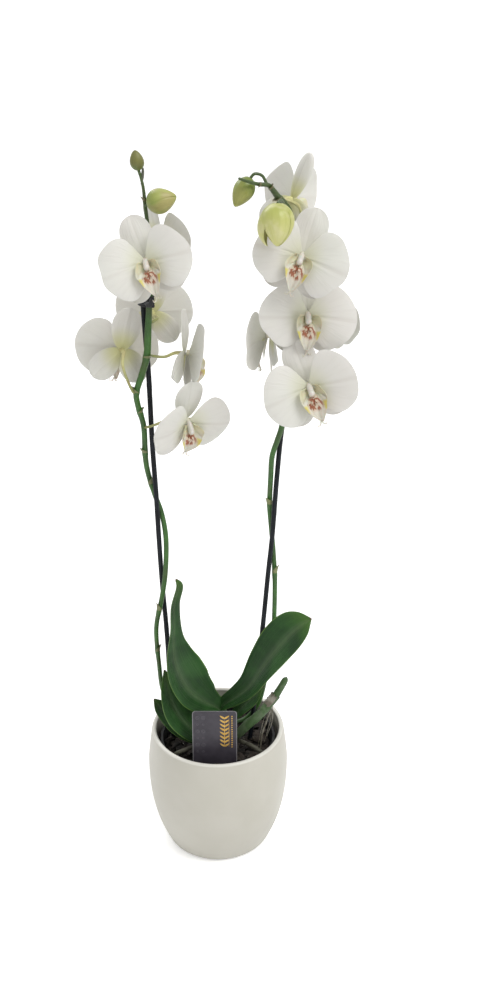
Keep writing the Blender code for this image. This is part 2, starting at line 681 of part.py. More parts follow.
def build():
    cover_pot()
    nursery_pot()
    growing_medium()
    plant_label()
    stake("stake_left", STAKE_LEFT)
    stake("stake_right", STAKE_RIGHT)
    clip("clip_left", Vector((-0.0556, -0.0029, 0.5590)), math.radians(-44.0), 1.0)
    clip("clip_right", Vector((0.0738, -0.0031, 0.5630)), math.radians(233.0), -1.0)
    crown()
    spike("spike_left", SPIKE_LEFT)
    spike("spike_right", SPIKE_RIGHT)
    root("root_green", ROOT_GREEN, (0.0030, 0.0044, 0.0046, 0.0040, 0.0030), root_green())
    root("root_dry", ROOT_DRY, (0.0009, 0.0010, 0.0008), root_green())
    for name, (midrib, half_widths, near_side) in LEAVES.items():
        leaf(name, midrib, half_widths, near_side)
    bud("bud_left_tip", (-0.0566, -0.0104, 0.6630), (-0.0590, -0.0130, 0.6790), 0.0050, 2.0)
    bud("bud_left_side", (-0.0508, -0.0085, 0.6375), (-0.0275, -0.0120, 0.6440), 0.0095, 3.0)
    bud("bud_right_small", (0.0312, -0.0190, 0.6585), (0.0190, -0.0230, 0.6375), 0.0075, 2.0,
        ((0.0440, -0.0195, 0.6560), (0.0405, -0.0170, 0.6600), (0.0345, -0.0180, 0.6615)))
    bud("bud_right_open", (0.0512, -0.0590, 0.6445), (0.0512, -0.0635, 0.6135), 0.0120, 3.0,
        ((0.0592, -0.0158, 0.6350), (0.0575, -0.0300, 0.6400), (0.0545, -0.0450, 0.6450)))
    for name, settings in FLOWERS.items():
        flower(name, *settings)


build()
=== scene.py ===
"""A white moth orchid with two flower spikes in a glazed cover pot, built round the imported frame.

Everything is in metres in the frame's own axes: +Z up, the flowers face -Y, and the pot's foot
stands on z = 0. Each piece is a closed skin over a grid of points and rides on the root body.
"""

import math

import bpy
import numpy as np
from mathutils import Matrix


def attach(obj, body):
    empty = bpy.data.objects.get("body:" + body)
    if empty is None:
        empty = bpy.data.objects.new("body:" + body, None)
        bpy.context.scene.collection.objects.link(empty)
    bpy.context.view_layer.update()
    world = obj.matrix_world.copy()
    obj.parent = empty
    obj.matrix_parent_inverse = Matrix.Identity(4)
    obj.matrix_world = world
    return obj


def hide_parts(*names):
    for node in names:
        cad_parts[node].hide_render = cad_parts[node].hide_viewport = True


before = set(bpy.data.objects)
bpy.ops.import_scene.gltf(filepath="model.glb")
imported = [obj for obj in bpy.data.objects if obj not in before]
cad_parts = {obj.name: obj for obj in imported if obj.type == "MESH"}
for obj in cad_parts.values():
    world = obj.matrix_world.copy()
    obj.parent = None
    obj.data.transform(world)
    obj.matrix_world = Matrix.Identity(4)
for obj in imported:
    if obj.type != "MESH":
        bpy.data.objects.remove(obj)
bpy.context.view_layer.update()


# ---------------------------------------------------------------- cover pot
# The cover pot is glazed stoneware, slip-cast: a bellied cup with a rounded lip and a flat foot.
# It is turned here from one closed profile and finished in a cream glaze with a few iron specks.

POT_HEIGHT = 0.129
POT_RIM = 0.0660
POT_BELLY = 0.0707
POT_BELLY_HEIGHT = 0.0909
POT_FOOT = 0.0527
POT_WALL = 0.0042
POT_FLOOR = 0.0050
AXIS_HOLE = 0.0003


def paint(red, green, blue):
    """A colour mixed as on a paint card, 0 to 255, turned into the light values a shader takes."""
    card = np.array((red, green, blue)) / 255.0
    light = np.where(card > 0.04045, ((card + 0.055) / 1.055) ** 2.4, card / 12.92)
    return (*(float(value) for value in light), 1.0)


def put(tree, kind, plugs=None, **settings):
    """Adds a shader node. plugs fills its inputs, each with a plain value or another output."""
    made = tree.nodes.new("ShaderNode" + kind)
    for key, value in settings.items():
        setattr(made, key, value)
    for key, value in (plugs or {}).items():
        if isinstance(value, bpy.types.NodeSocket):
            tree.links.new(value, made.inputs[key])
        else:
            made.inputs[key].default_value = value
    return made


def tree_of(*values):
    """The node tree that the first output among the values belongs to."""
    return next(value.id_data for value in values if isinstance(value, bpy.types.NodeSocket))


def calc(operation, *values):
    node = put(tree_of(*values), "Math", dict(enumerate(values)), operation=operation)
    return node.outputs[0]


def times(first, second):
    return calc("MULTIPLY", first, second)


def invert(value):
    return calc("SUBTRACT", 1.0, value)


def off_middle(across):
    """How far a place is from a folded sheet's midline, 0 to 0.5, on its front and its back."""
    return calc("ABSOLUTE", calc("SUBTRACT", calc("PINGPONG", across, 1.0), 0.5))


def blend(share, first, second):
    """The first colour where share is 0, the second where it is 1."""
    plugs = {0: share, 6: first, 7: second}
    return put(tree_of(share, first, second), "Mix", plugs, data_type="RGBA").outputs[2]


def fade(value, start, stop):
    """0 before start, 1 after stop, smooth between."""
    plugs = {"Value": value, "From Min": start, "From Max": stop}
    return put(tree_of(value), "MapRange", plugs, interpolation_type="SMOOTHSTEP").outputs["Result"]


def noise(place, scale, detail=2.0):
    plugs = {"Vector": place, "Scale": scale, "Detail": detail}
    return put(tree_of(place), "TexNoise", plugs).outputs["Fac"]


def xyz(place):
    return put(tree_of(place), "SeparateXYZ", {0: place}).outputs


def stretched(place, *scale):
    return put(tree_of(place), "Mapping", {"Vector": place, "Scale": scale}).outputs[0]


def uneven(place, scale, swing, low):
    """A roughness that wanders from low up to low + swing."""
    return calc("MULTIPLY_ADD", noise(place, scale), swing, low)


def relief(height, strength, distance):
    plugs = {"Strength": strength, "Distance": distance, "Height": height}
    return put(tree_of(height), "Bump", plugs).outputs["Normal"]


def dress(shader, **outputs):
    """Plugs each output into the shader's input of that name."""
    for label, output in outputs.items():
        tree_of(output).links.new(output, shader[label.replace("_", " ")])


def object_place(tree):
    return put(tree, "TexCoord").outputs["Object"]


def surface_place(tree):
    """The piece's own UV map: x runs along the piece, y across or round it."""
    return put(tree, "UVMap", uv_map="UVMap").outputs["UV"]


def new_group(name, inputs, outputs):
    """A shader node group with named sockets; gives its tree, its inputs and its outputs."""
    tree = bpy.data.node_groups.new(name, "ShaderNodeTree")
    for label, kind in inputs:
        tree.interface.new_socket(name=label, in_out="INPUT", socket_type="NodeSocket" + kind)
    for label, kind in outputs:
        tree.interface.new_socket(name=label, in_out="OUTPUT", socket_type="NodeSocket" + kind)
    return tree, tree.nodes.new("NodeGroupInput").outputs, tree.nodes.new("NodeGroupOutput").inputs


def use_group(group, **plugs):
    return put(tree_of(*plugs.values()), "Group", plugs, node_tree=group).outputs


def make_mottle():
    """Two colours mixed by a soft noise, as on glaze, leaves, petals and bark."""
    tree, given, result = new_group(
        "mottle", (("Vector", "Vector"), ("Scale", "Float"), ("Dark", "Color"), ("Light", "Color")),
        (("Color", "Color"),))
    share = fade(noise(given["Vector"], given["Scale"], 4.0), 0.32, 0.68)
    tree.links.new(blend(share, given["Dark"], given["Light"]), result["Color"])
    return tree


def make_grain():
    """A fine all-over relief from a noise; Depth is its height in metres."""
    tree, given, result = new_group(
        "grain", (("Vector", "Vector"), ("Scale", "Float"), ("Depth", "Float")),
        (("Normal", "Vector"),))
    height = noise(given["Vector"], given["Scale"], 5.0)
    tree.links.new(relief(height, 1.0, given["Depth"]), result["Normal"])
    return tree


def make_specks():
    """1 inside small round specks and 0 outside; Size is their share of a cell."""
    tree, given, result = new_group("specks", (("Vector", "Vector"), ("Scale", "Float"),
                                               ("Size", "Float")), (("Mask", "Float"),))
    cells = put(tree, "TexVoronoi", {"Vector": given["Vector"], "Scale": given["Scale"]})
    inside = calc("SUBTRACT", given["Size"], cells.outputs["Distance"])
    tree.links.new(fade(inside, 0.0, 0.03), result["Mask"])
    return tree


MOTTLE = make_mottle()
GRAIN = make_grain()
SPECKS = make_specks()


def mottle(place, scale, dark, light):
    return use_group(MOTTLE, Vector=place, Scale=scale, Dark=dark, Light=light)["Color"]


def grain(place, scale, depth):
    return use_group(GRAIN, Vector=place, Scale=scale, Depth=depth)["Normal"]


def specks(place, scale, size):
    return use_group(SPECKS, Vector=place, Scale=scale, Size=size)["Mask"]


def new_look(name, roughness, **fixed):
    """A material with its shader's fixed numbers set; gives the material, its tree and shader."""
    made = bpy.data.materials.new(name)
    made.use_nodes = True
    shader = made.node_tree.nodes["Principled BSDF"]
    shader.inputs["Roughness"].default_value = roughness
    for label, value in fixed.items():
        shader.inputs[label.replace("_", " ")].default_value = value
    return made, made.node_tree, shader.inputs


def clouded_look(name, roughness, cloud_scale, dark, light, grain_scale, depth, **fixed):
    """A plain material: two colours in soft clouds, under a fine relief."""
    look, tree, shader = new_look(name, roughness, **fixed)
    place = object_place(tree)
    dress(shader, Base_Color=mottle(place, cloud_scale, dark, light),
          Normal=grain(place, grain_scale, depth))
    return look


def curve(points, t):
    """A Catmull-Rom curve through the points, read at every t from 0 (first) to 1 (last)."""
    points = np.asarray(points, float)
    points = points.reshape(len(points), -1)
    ends = np.vstack((2 * points[0] - points[1], points, 2 * points[-1] - points[-2]))
    reach = np.clip(t, 0.0, 1.0) * (len(points) - 1)
    span = np.minimum(reach.astype(int), len(points) - 2)
    f = (reach - span)[..., None]
    a, b, c, d = ends[span], ends[span + 1], ends[span + 2], ends[span + 3]
    return 0.5 * (2 * b + (c - a) * f + (2 * a - 5 * b + 4 * c - d) * f ** 2
                  + (3 * b - 3 * c + d - a) * f ** 3)


def circle(count):
    """That many angles, evenly once round."""
    return np.linspace(0.0, 2 * math.pi, count, endpoint=False)


def unit(vectors):
    """The same directions, each one unit long."""
    return vectors / np.linalg.norm(vectors, axis=-1, keepdims=True)


def level(values, t):
    """The same curve for a list of plain numbers."""
    return curve(values, t)[..., 0]


def smooth(t, start, stop):
    """0 before start, 1 after stop and an S-curve between them."""
    share = np.clip((t - start) / (stop - start), 0.0, 1.0)
    return share * share * (3.0 - 2.0 * share)


def turned(profile, steps):
    """A lathe skin: each (radius, height) of the profile goes once round the Z axis."""
    profile = np.asarray(profile)
    angle = circle(steps)
    radius = profile[:, :1]
    height = np.broadcast_to(profile[:, 1:], (len(profile), steps))
    return np.stack((radius * np.cos(angle), radius * np.sin(angle), height), axis=2)


def skin_faces(grid, kind):
    """Faces and UVs of a closed skin, whose last column joins its first. A "capped" skin has one
    face at each end, a "folded" sheet has quads between its front and its back there, and the
    rows of a "ring" join end to end."""
    rows, cols = grid.shape[:2]
    folded, ring = kind == "folded", kind == "ring"
    row, col = np.meshgrid(np.arange(rows if ring else rows - 1), np.arange(cols), indexing="ij")
    corners = ((row, col), (row, col + 1), (row + 1, col + 1), (row + 1, col))
    quads = np.stack([r % rows * cols + c % cols for r, c in corners], axis=2).reshape(-1, 4)
    half = cols // 2
    across = (lambda c: np.clip(np.where(c < half, c, c - 1) / (half - 1), 0, 2)) if folded else (
        lambda c: c / cols)
    reach = rows if ring else rows - 1
    uv = np.stack([np.stack((r / reach, across(c)), axis=2) for r, c in corners], axis=2)
    points = grid.reshape(-1, 3)
    a, b, c, d = (points[quads[:, k]] - points.mean(axis=0) for k in range(4))
    volume = (np.cross(a, b) * c).sum() + (np.cross(a, c) * d).sum()
    last = (rows - 1) * cols
    if ring:
        lids, lid_cols = [], []
    elif folded:
        k = np.arange(half - 1)
        start = np.stack((k, cols - 1 - k, cols - 2 - k, k + 1), axis=1)
        lids = [start, last + start[:, ::-1]]
        lid_cols = [start, start[:, ::-1]]
    else:
        once = np.arange(cols)[None]
        lids = [once[:, ::-1], last + once]
        lid_cols = [once[:, ::-1], once]
    faces = [quads, *lids]
    uvs = [uv.reshape(-1, 4, 2)]
    for end, ids in zip((0.0, 1.0), lid_cols):
        uvs.append(np.stack((np.full(ids.shape, end), across(ids)), axis=2))
    if volume < 0.0:
        faces = [group[:, ::-1] for group in faces]
        uvs = [group[:, ::-1] for group in uvs]
    return faces, uvs


def piece(name, skins, look, nodes=(), kind="capped", own=None, sharp=60.0):
    """Joins closed skins into one mesh that rides on the root body and stands for the CAD nodes.
    own holds the same grids in the piece's own frame, kept as the attribute own_place."""
    points, starts, totals, corners, uvs, count, loops = [], [], [], [], [], 0, 0
    for grid in skins:
        faces, face_uvs = skin_faces(grid, kind)
        for group, uv in zip(faces, face_uvs):
            starts.append(loops + np.arange(len(group)) * group.shape[1])
            totals.append(np.full(len(group), group.shape[1]))
            corners.append((group + count).ravel())
            uvs.append(uv.reshape(-1, 2))
            loops += group.size
        points.append(grid.reshape(-1, 3))
        count += len(points[-1])
    starts = np.concatenate(starts)
    mesh = bpy.data.meshes.new(name)
    mesh.vertices.add(count)
    mesh.vertices.foreach_set("co", np.concatenate(points).astype(np.float32).ravel())
    mesh.loops.add(loops)
    mesh.loops.foreach_set("vertex_index", np.concatenate(corners).astype(np.int32))
    mesh.polygons.add(len(starts))
    mesh.polygons.foreach_set("loop_start", starts.astype(np.int32))
    mesh.polygons.foreach_set("loop_total", np.concatenate(totals).astype(np.int32))
    mesh.uv_layers.new(name="UVMap").data.foreach_set(
        "uv", np.concatenate(uvs).astype(np.float32).ravel())
    if own is not None:
        place = mesh.attributes.new("own_place", "FLOAT_VECTOR", "POINT")
        own = np.concatenate([grid.reshape(-1, 3) for grid in own])
        place.data.foreach_set("vector", own.astype(np.float32).ravel())
    mesh.update(calc_edges=True)
    mesh.validate()
    mesh.shade_smooth()
    mesh.set_sharp_from_angle(angle=math.radians(sharp))
    mesh.materials.append(look)
    made = bpy.data.objects.new(name, mesh)
    bpy.context.scene.collection.objects.link(made)
    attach(made, "root")
    if nodes:
        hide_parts(*nodes)
    return made


def pot_radius(height):
    """Outer radius: one power curve below the belly and a flatter one above it."""
    drop = np.clip((POT_BELLY_HEIGHT - height) / POT_BELLY_HEIGHT, 0.0, 1.0)
    rise = np.clip((height - POT_BELLY_HEIGHT) / (POT_HEIGHT - POT_BELLY_HEIGHT), 0.0, 1.0)
    return POT_BELLY - (POT_BELLY - POT_FOOT) * drop ** 2.5 - (POT_BELLY - POT_RIM) * rise ** 1.3


def pot_profile():
    """Inner floor, inner wall, half-round lip, outer wall, foot edge and underside."""
    lip = POT_WALL / 2
    floor = np.linspace(AXIS_HOLE, POT_FOOT - POT_WALL - 0.006, 8)
    inner = np.linspace(POT_FLOOR + 0.006, POT_HEIGHT - lip - 0.001, 40)
    bow = np.linspace(math.pi, 0.0, 14)
    outer = np.linspace(POT_HEIGHT - lip - 0.001, 0.0030, 56)
    under = np.linspace(POT_FOOT - 0.0024, AXIS_HOLE, 6)
    centre = POT_RIM - lip
    return np.vstack((
        np.c_[floor, np.full(8, POT_FLOOR)],
        [(POT_FOOT - POT_WALL - 0.001, POT_FLOOR + 0.0018)],
        np.c_[pot_radius(inner) - POT_WALL, inner],
        np.c_[centre + lip * np.cos(bow), POT_HEIGHT - lip + lip * np.sin(bow)],
        np.c_[pot_radius(outer), outer],
        [(POT_FOOT - 0.0006, 0.0012)],
        np.c_[under, np.zeros(6)]))


def glaze_look():
    """Cream glaze: faint clouds, two or three iron specks, a painted highlight along the lip and a
    soft gloss.
    """
    look, tree, shader = new_look("cream_glaze", 0.34, Coat_Weight=0.18, Coat_Roughness=0.22)
    place = object_place(tree)
    cloud = mottle(place, 26.0, paint(196, 193, 181), paint(200, 197, 186))
    speck = specks(place, 58.0, 0.05)
    rare = fade(noise(place, 21.0), 0.60, 0.63)
    iron = blend(times(speck, rare), cloud, paint(138, 132, 114))
    height = xyz(place)[2]
    # Painted highlight: the top of the lip is lightened in colour where the lamp's highlight falls
    # along it.
    lip = times(fade(height, 0.1265, 0.1280), 0.8)
    dress(shader, Base_Color=blend(lip, iron, paint(222, 220, 212)),
          Roughness=uneven(place, 60.0, 0.16, 0.30), Normal=grain(place, 170.0, 0.00009))
    return look


piece("pot_glazed", [turned(pot_profile(), 128)], glaze_look(), ["cover_pot"])


# ---------------------------------------------------------------- nursery pot
# Inside stands the grower's pot, a thin black polypropylene tub with a rolled rim and drain
# holes. Its wall is the CAD solid, in a new material; the bead round its top edge is made here.

TUB_HEIGHT = 0.1165
TUB_TOP = 0.0570
TUB_BEAD = 0.0012


def black_plastic_look():
    """Matt black plastic, greyed by dust in patches."""
    look, tree, shader = new_look("black_plastic", 0.5)
    place = object_place(tree)
    dress(shader, Base_Color=mottle(place, 70.0, paint(20, 21, 23), paint(34, 35, 37)),
          Roughness=uneven(place, 90.0, 0.3, 0.40), Normal=grain(place, 900.0, 0.00005))
    return look


BLACK_PLASTIC = black_plastic_look()


def refinish(node, look):
    """Gives a CAD node that stays in sight its finished material."""
    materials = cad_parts[node].data.materials
    materials.clear()
    materials.append(look)


refinish("nursery_pot", BLACK_PLASTIC)


def tub_rim():
    """A rolled bead round the tub's top edge: a ring of small round section."""
    bow = circle(14)
    return np.c_[TUB_TOP + 0.0001 + 0.0011 * np.cos(bow),
                 TUB_HEIGHT - TUB_BEAD + TUB_BEAD * np.sin(bow)]


piece("tub_rolled_rim", [turned(tub_rim(), 96)], BLACK_PLASTIC, kind="ring")


# ---------------------------------------------------------------- bark
# The tub is packed with pine bark, in chips of 6 to 16 mm with a few crumbs of white perlite.
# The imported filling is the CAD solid; loose chips lie on it, thrown with a seeded hand.

CHIP_COUNT = 190
PERLITE_COUNT = 9
CHIP_SHARP = 35.0


def bark_look():
    """Dark weathered bark: brown plates, grey dust and a coarse grain."""
    look, tree, shader = new_look("pine_bark", 0.9)
    place = object_place(tree)
    plates = mottle(place, 130.0, paint(22, 19, 17), paint(52, 43, 36))
    dust = fade(noise(place, 320.0), 0.58, 0.72)
    dress(shader, Base_Color=blend(dust, plates, paint(70, 64, 56)),
          Normal=grain(place, 520.0, 0.0006))
    return look


def chips(count, seed, shortest, longest, spread, low, high):
    """Flat lumps: five rings of eight points, jittered, each turned and thrown on the filling."""
    draw = np.random.default_rng(seed)
    ring = circle(8)
    swell = np.array((0.45, 0.92, 1.0, 0.88, 0.40))[:, None]
    lump = np.stack((np.broadcast_to(np.linspace(-0.5, 0.5, 5)[:, None], (5, 8)),
                     swell * np.cos(ring) * 0.5, swell * np.sin(ring) * 0.5), axis=2)
    size = draw.uniform(shortest, longest, count)
    shape = np.stack((size, size * draw.uniform(0.45, 0.8, count),
                      size * draw.uniform(0.18, 0.36, count)), axis=1)
    lumps = (lump + draw.normal(0.0, 0.05, (count, 5, 8, 3))) * shape[:, None, None]
    spin, roll, pitch = draw.uniform(0, math.pi * 2, count), *draw.normal(0.0, 0.35, (2, count))
    one, none = np.ones(count), np.zeros(count)
    flat = np.array(((np.cos(spin), -np.sin(spin), none), (np.sin(spin), np.cos(spin), none),
                     (none, none, one)))
    tip = np.array(((one, none, none), (none, np.cos(roll), -np.sin(roll)),
                    (none, np.sin(roll), np.cos(roll))))
    nod = np.array(((np.cos(pitch), none, np.sin(pitch)), (none, one, none),
                    (-np.sin(pitch), none, np.cos(pitch))))
    turn = np.einsum("ijn,jkn,kln->nil", flat, nod, tip)
    lumps = np.einsum("nil,nrcl->nrci", turn, lumps)
    bearing = draw.uniform(0, math.pi * 2, count)
    radius = spread * np.sqrt(draw.uniform(0, 1, count))
    centre = np.stack((radius * np.cos(bearing), radius * np.sin(bearing),
                       draw.uniform(low, high, count)), axis=1)
    return list(lumps + centre[:, None, None])


BARK = bark_look()
refinish("growing_medium", BARK)
piece("bark_chips", chips(CHIP_COUNT, 11, 0.006, 0.016, 0.0475, 0.1085, 0.1125), BARK,
      sharp=CHIP_SHARP)


piece("perlite_crumbs", chips(PERLITE_COUNT, 5, 0.0015, 0.003, 0.046, 0.1125, 0.1140),
      clouded_look("perlite", 0.8, 600.0, paint(176, 174, 166), paint(216, 214, 206), 1500.0,
                   0.0003), sharp=CHIP_SHARP)


# ---------------------------------------------------------------- label
# The grower's label is a dark printed card with rounded corners, pushed into the bark.
# Its print is a made-up motif: a gold sprig beside rows of small grey rings, in raised ink.

LABEL_WIDTH = 0.0430
LABEL_HEIGHT = 0.0760
LABEL_THICKNESS = 0.0008
LABEL_LEAN = math.radians(5.0)
LABEL_PLACE = np.array((-0.0018, -0.0425, 0.1345))
LABEL_CORNER = 0.0030
INK_CLOUDS = 700.0
INK_GRAIN = 1800.0
INK_RELIEF = 0.00004


def on_label(flat, forward):
    """Points (x, z) of the card's face, forward of its middle plane, leaned and set in place."""
    x, z = flat[..., 0], flat[..., 1]
    y = -forward * np.ones_like(x)
    return LABEL_PLACE + np.stack((x, y * math.cos(LABEL_LEAN) + z * math.sin(LABEL_LEAN),
                                   z * math.cos(LABEL_LEAN) - y * math.sin(LABEL_LEAN)), axis=-1)


def card_skin(width, height, corner, front, back):
    """A rounded card: each row is as wide as its quarter-round corners leave it."""
    bend = np.linspace(0.02, math.pi / 2, 8)
    end = corner * (1.0 - np.cos(bend))
    inset = np.concatenate((corner * (1 - np.sin(bend)), np.zeros(24),
                            corner * (1 - np.sin(bend[::-1]))))
    z = np.concatenate((-height / 2 + end, np.linspace(-height / 2 + corner, height / 2 - corner,
                                                       26)[1:-1], (height / 2 - end)[::-1]))
    x = (width / 2 - inset)[:, None] * np.linspace(-1.0, 1.0, 19)
    flat = np.stack((x, np.broadcast_to(z[:, None], x.shape)), axis=2)
    return np.concatenate((on_label(flat, front), on_label(flat, back)[:, ::-1]), axis=1)


def card_look():
    """Aubergine-grey printed board with a pale line along its edge and a soft sheen."""
    look, tree, shader = new_look("label_board", 0.42)
    place = surface_place(tree)
    split = xyz(place)
    board = mottle(object_place(tree), 90.0, paint(55, 51, 59), paint(66, 62, 70))
    side = off_middle(split[1])
    end = calc("ABSOLUTE", calc("SUBTRACT", split[0], 0.5))
    rim = calc("MAXIMUM", fade(side, 0.478, 0.488), fade(end, 0.487, 0.494))
    dress(shader, Base_Color=blend(times(rim, 0.5), board, paint(170, 168, 170)),
          Normal=grain(object_place(tree), 1400.0, 0.00003))
    return look


piece("label_card", [card_skin(LABEL_WIDTH, LABEL_HEIGHT, LABEL_CORNER, LABEL_THICKNESS / 2,
                               -LABEL_THICKNESS / 2)],
      card_look(), ["plant_label"], kind="folded")


def ink_oval(x, z, long, wide, turn):
    """A raised lens of ink: rings of an oval shrinking to its top, tilted by turn on the card."""
    angle = circle(20)
    share = np.array((1.0, 1.0, 0.85, 0.5, 0.1))[:, None]
    proud = np.array((0.0, 0.00006, 0.00012, 0.00014, 0.00015))[:, None]
    a, b = long * share * np.cos(angle), wide * share * np.sin(angle) * (1 - 0.35 * np.cos(angle))
    flat = np.stack((x + a * math.cos(turn) - b * math.sin(turn),
                     z + a * math.sin(turn) + b * math.cos(turn)), axis=2)
    return on_label(flat, LABEL_THICKNESS / 2 + proud + np.zeros_like(angle))


def ink_ring(x, z, radius, width):
    """A raised ring of ink: a small flat section carried round a circle, closed on itself."""
    angle = circle(24)
    section = np.array(((-1, 0), (1, 0), (1, 1), (-1, 1)), float)
    reach = radius + section[None, :, 0] * width / 2
    flat = np.stack((x + reach * np.cos(angle)[:, None], z + reach * np.sin(angle)[:, None]),
                    axis=2)
    return on_label(flat, LABEL_THICKNESS / 2 + 0.0001 * section[None, :, 1] + 0 * reach)


def sprig(x, low, high, pairs, long, wide):
    """A straight stem with pairs of leaves, all in ink ovals."""
    heights = np.linspace(low, high, pairs)
    stem = [ink_oval(x, (low + high) / 2, (high - low) / 2, 0.00035, math.pi / 2)]
    leaves = [ink_oval(x + side * long * 0.75, z + long * 0.55, long, wide,
                       math.pi / 2 - side * 0.95) for z in heights for side in (-1, 1)]
    return stem + leaves


dots = [ink_oval(0.0168, z, 0.0007, 0.0007, 0.0) for z in np.linspace(-0.0010, 0.0325, 15)]
piece("label_sprig_gold", sprig(0.0095, -0.0005, 0.0300, 8, 0.0029, 0.0009)
      + [ink_oval(0.0138, 0.0158, 0.0170, 0.00025, math.pi / 2)] + dots,
      clouded_look("gold_ink", 0.35, INK_CLOUDS, paint(196, 150, 66), paint(222, 184, 100),
                   INK_GRAIN, INK_RELIEF, Metallic=0.35))
rings = [ink_ring(x, z, radius, 0.0003)
         for row, z in enumerate(np.linspace(-0.0060, 0.0310, 6))
         for x in (-0.0165, -0.0110) for radius in ((0.0018, 0.0009) if row % 2 else (0.0009,))]
GREY_INK = clouded_look("grey_ink", 0.5, INK_CLOUDS, paint(84, 82, 89), paint(98, 96, 102),
                        INK_GRAIN, INK_RELIEF, Metallic=0.0)
piece("label_rings_grey", rings, GREY_INK, kind="ring")


# ---------------------------------------------------------------- stakes
# Two split-cane stakes, dyed blue-black, hold the spikes up. Each is pushed 50 mm into the bark
# and bends with its spike; a round section is carried along the CAD stake's own points.

STAKE_RADIUS = 0.0023
STAKE_DEPTH = 0.050
STAKE_LEFT = np.array((
    (-0.0450, 0.0, 0.110), (-0.0464, 0.0, 0.158), (-0.0481, 0.0, 0.234), (-0.0510, 0.0, 0.292),
    (-0.0524, 0.0, 0.336), (-0.0534, 0.0, 0.380), (-0.0551, 0.0, 0.428), (-0.0557, 0.0, 0.470),
    (-0.0562, 0.0, 0.500), (-0.0580, 0.0, 0.543), (-0.0583, 0.0, 0.566)))
STAKE_RIGHT = np.array((
    (0.0325, 0.0, 0.110), (0.0370, 0.0, 0.158), (0.0442, 0.0, 0.238), (0.0490, 0.0, 0.299),
    (0.0524, 0.0, 0.337), (0.0545, 0.0, 0.372), (0.0562, 0.0, 0.400), (0.0596, 0.0, 0.442),
    (0.0677, 0.0, 0.503), (0.0765, 0.0, 0.568)))


def tube(path, radii, sides, flat=1.0):
    """A round profile carried along a path: point = path + radius (cos a side + sin a rise),
    where side and rise are square to the path; flat squeezes it along rise."""
    ahead = unit(np.gradient(path, axis=0))
    guide = np.eye(3)[np.argmin(np.abs(ahead).max(axis=0))]
    side = unit(np.cross(guide, ahead))
    rise = np.cross(ahead, side) * flat
    angle = circle(sides)
    radii = np.broadcast_to(np.asarray(radii, float).reshape(len(path), -1), (len(path), sides))
    around = side[:, None] * np.cos(angle)[:, None] + rise[:, None] * np.sin(angle)[:, None]
    return path[:, None] + radii[..., None] * around


def stake_skin(route):
    """The stake: its own curve run on into the bark, with a slight swell at each cane joint."""
    slope = unit(route[0] - route[1])
    path = np.vstack((route[0] + slope * STAKE_DEPTH, curve(route, np.linspace(0, 1, 120))))
    joints = 1.0 + 0.06 * np.exp(-(np.sin(path[:, 2] * 26.0) / 0.08) ** 2)
    return tube(path, STAKE_RADIUS * joints, 20)


def cane_look():
    """Dyed cane: blue-black with worn, greyer streaks running along it."""
    look, tree, shader = new_look("dyed_cane", 0.5, Specular_IOR_Level=0.25)
    place = stretched(object_place(tree), 1.0, 1.0, 0.12)
    dress(shader, Base_Color=mottle(place, 620.0, paint(10, 13, 18), paint(26, 31, 38)),
          Normal=grain(place, 900.0, 0.0003))
    return look


CANE = cane_look()
for side, route in (("left", STAKE_LEFT), ("right", STAKE_RIGHT)):
    piece("cane_" + side, [stake_skin(route)], CANE, ["stake_" + side])


# ---------------------------------------------------------------- leaves
# Five thick strap leaves clasp a short crown. A leaf is a sheet swept along its midrib: both
# halves rise about a soft fold, the rims roll back a little, and the tip may twist.

LEAF_THICKNESS = 0.0017
LEAF_FOLD = math.radians(18.0)
NEAR_LEFT = np.array((-0.58, -0.77, -0.26))
NEAR_RIGHT = np.array((0.45, -0.77, -0.45))


def two_sided(front, thickness):
    """Folds an open sheet into a closed one: its back lies thickness behind its front, measured
    along the normals, and the sheet thins towards its rim."""
    normal = np.cross(np.gradient(front, axis=0), np.gradient(front, axis=1))
    normal /= np.linalg.norm(normal, axis=2, keepdims=True) + 1e-12
    u = np.linspace(0.0, 1.0, front.shape[0])[:, None]
    across = np.linspace(-1.0, 1.0, front.shape[1])[None]
    body = (0.22 + 0.78 * (1 - u ** 10) * (1 - across ** 8))[..., None]
    back = front - normal * thickness * body
    return np.concatenate((front, back[:, ::-1]), axis=1)


def leaf_skin(midrib, half_widths, near_side, facing, twist=0.0, wave=0.0, skew=0.0):
    """point = midrib + reach (cos fold side + sin fold face) with reach = half width x across;
    skew makes the nearer half narrower and the farther one wider."""
    u = np.linspace(0.0, 1.0, 70)
    a = np.linspace(-1.0, 1.0, 25)[None]
    route = curve(midrib, u)
    ahead = unit(np.gradient(route, axis=0))
    side = unit(near_side - ahead * (ahead @ near_side)[:, None])
    face = np.cross(ahead, side) * facing
    turn = (twist * smooth(u, 0.68, 0.97))[:, None]
    side, face = (side * np.cos(turn) + face * np.sin(turn),
                  face * np.cos(turn) - side * np.sin(turn))
    half = np.maximum(level(half_widths, u), 0.0005)[:, None] * (1.0 - skew * a)
    fold = LEAF_FOLD * (1.0 + 0.9 * (1 - smooth(u, 0.0, 0.25)))[:, None]
    flank = np.sqrt(a * a + 0.006) - 0.078
    rise = np.sin(fold) * flank - 0.10 * a ** 4 + wave * np.sin(9.0 * u[:, None] + 2.0 * a) * a * a
    out = (np.cos(fold) * a * half)[..., None] * side[:, None]
    lift = (rise * half)[..., None] * face[:, None]
    return two_sided(route[:, None] + out + lift, LEAF_THICKNESS * facing)


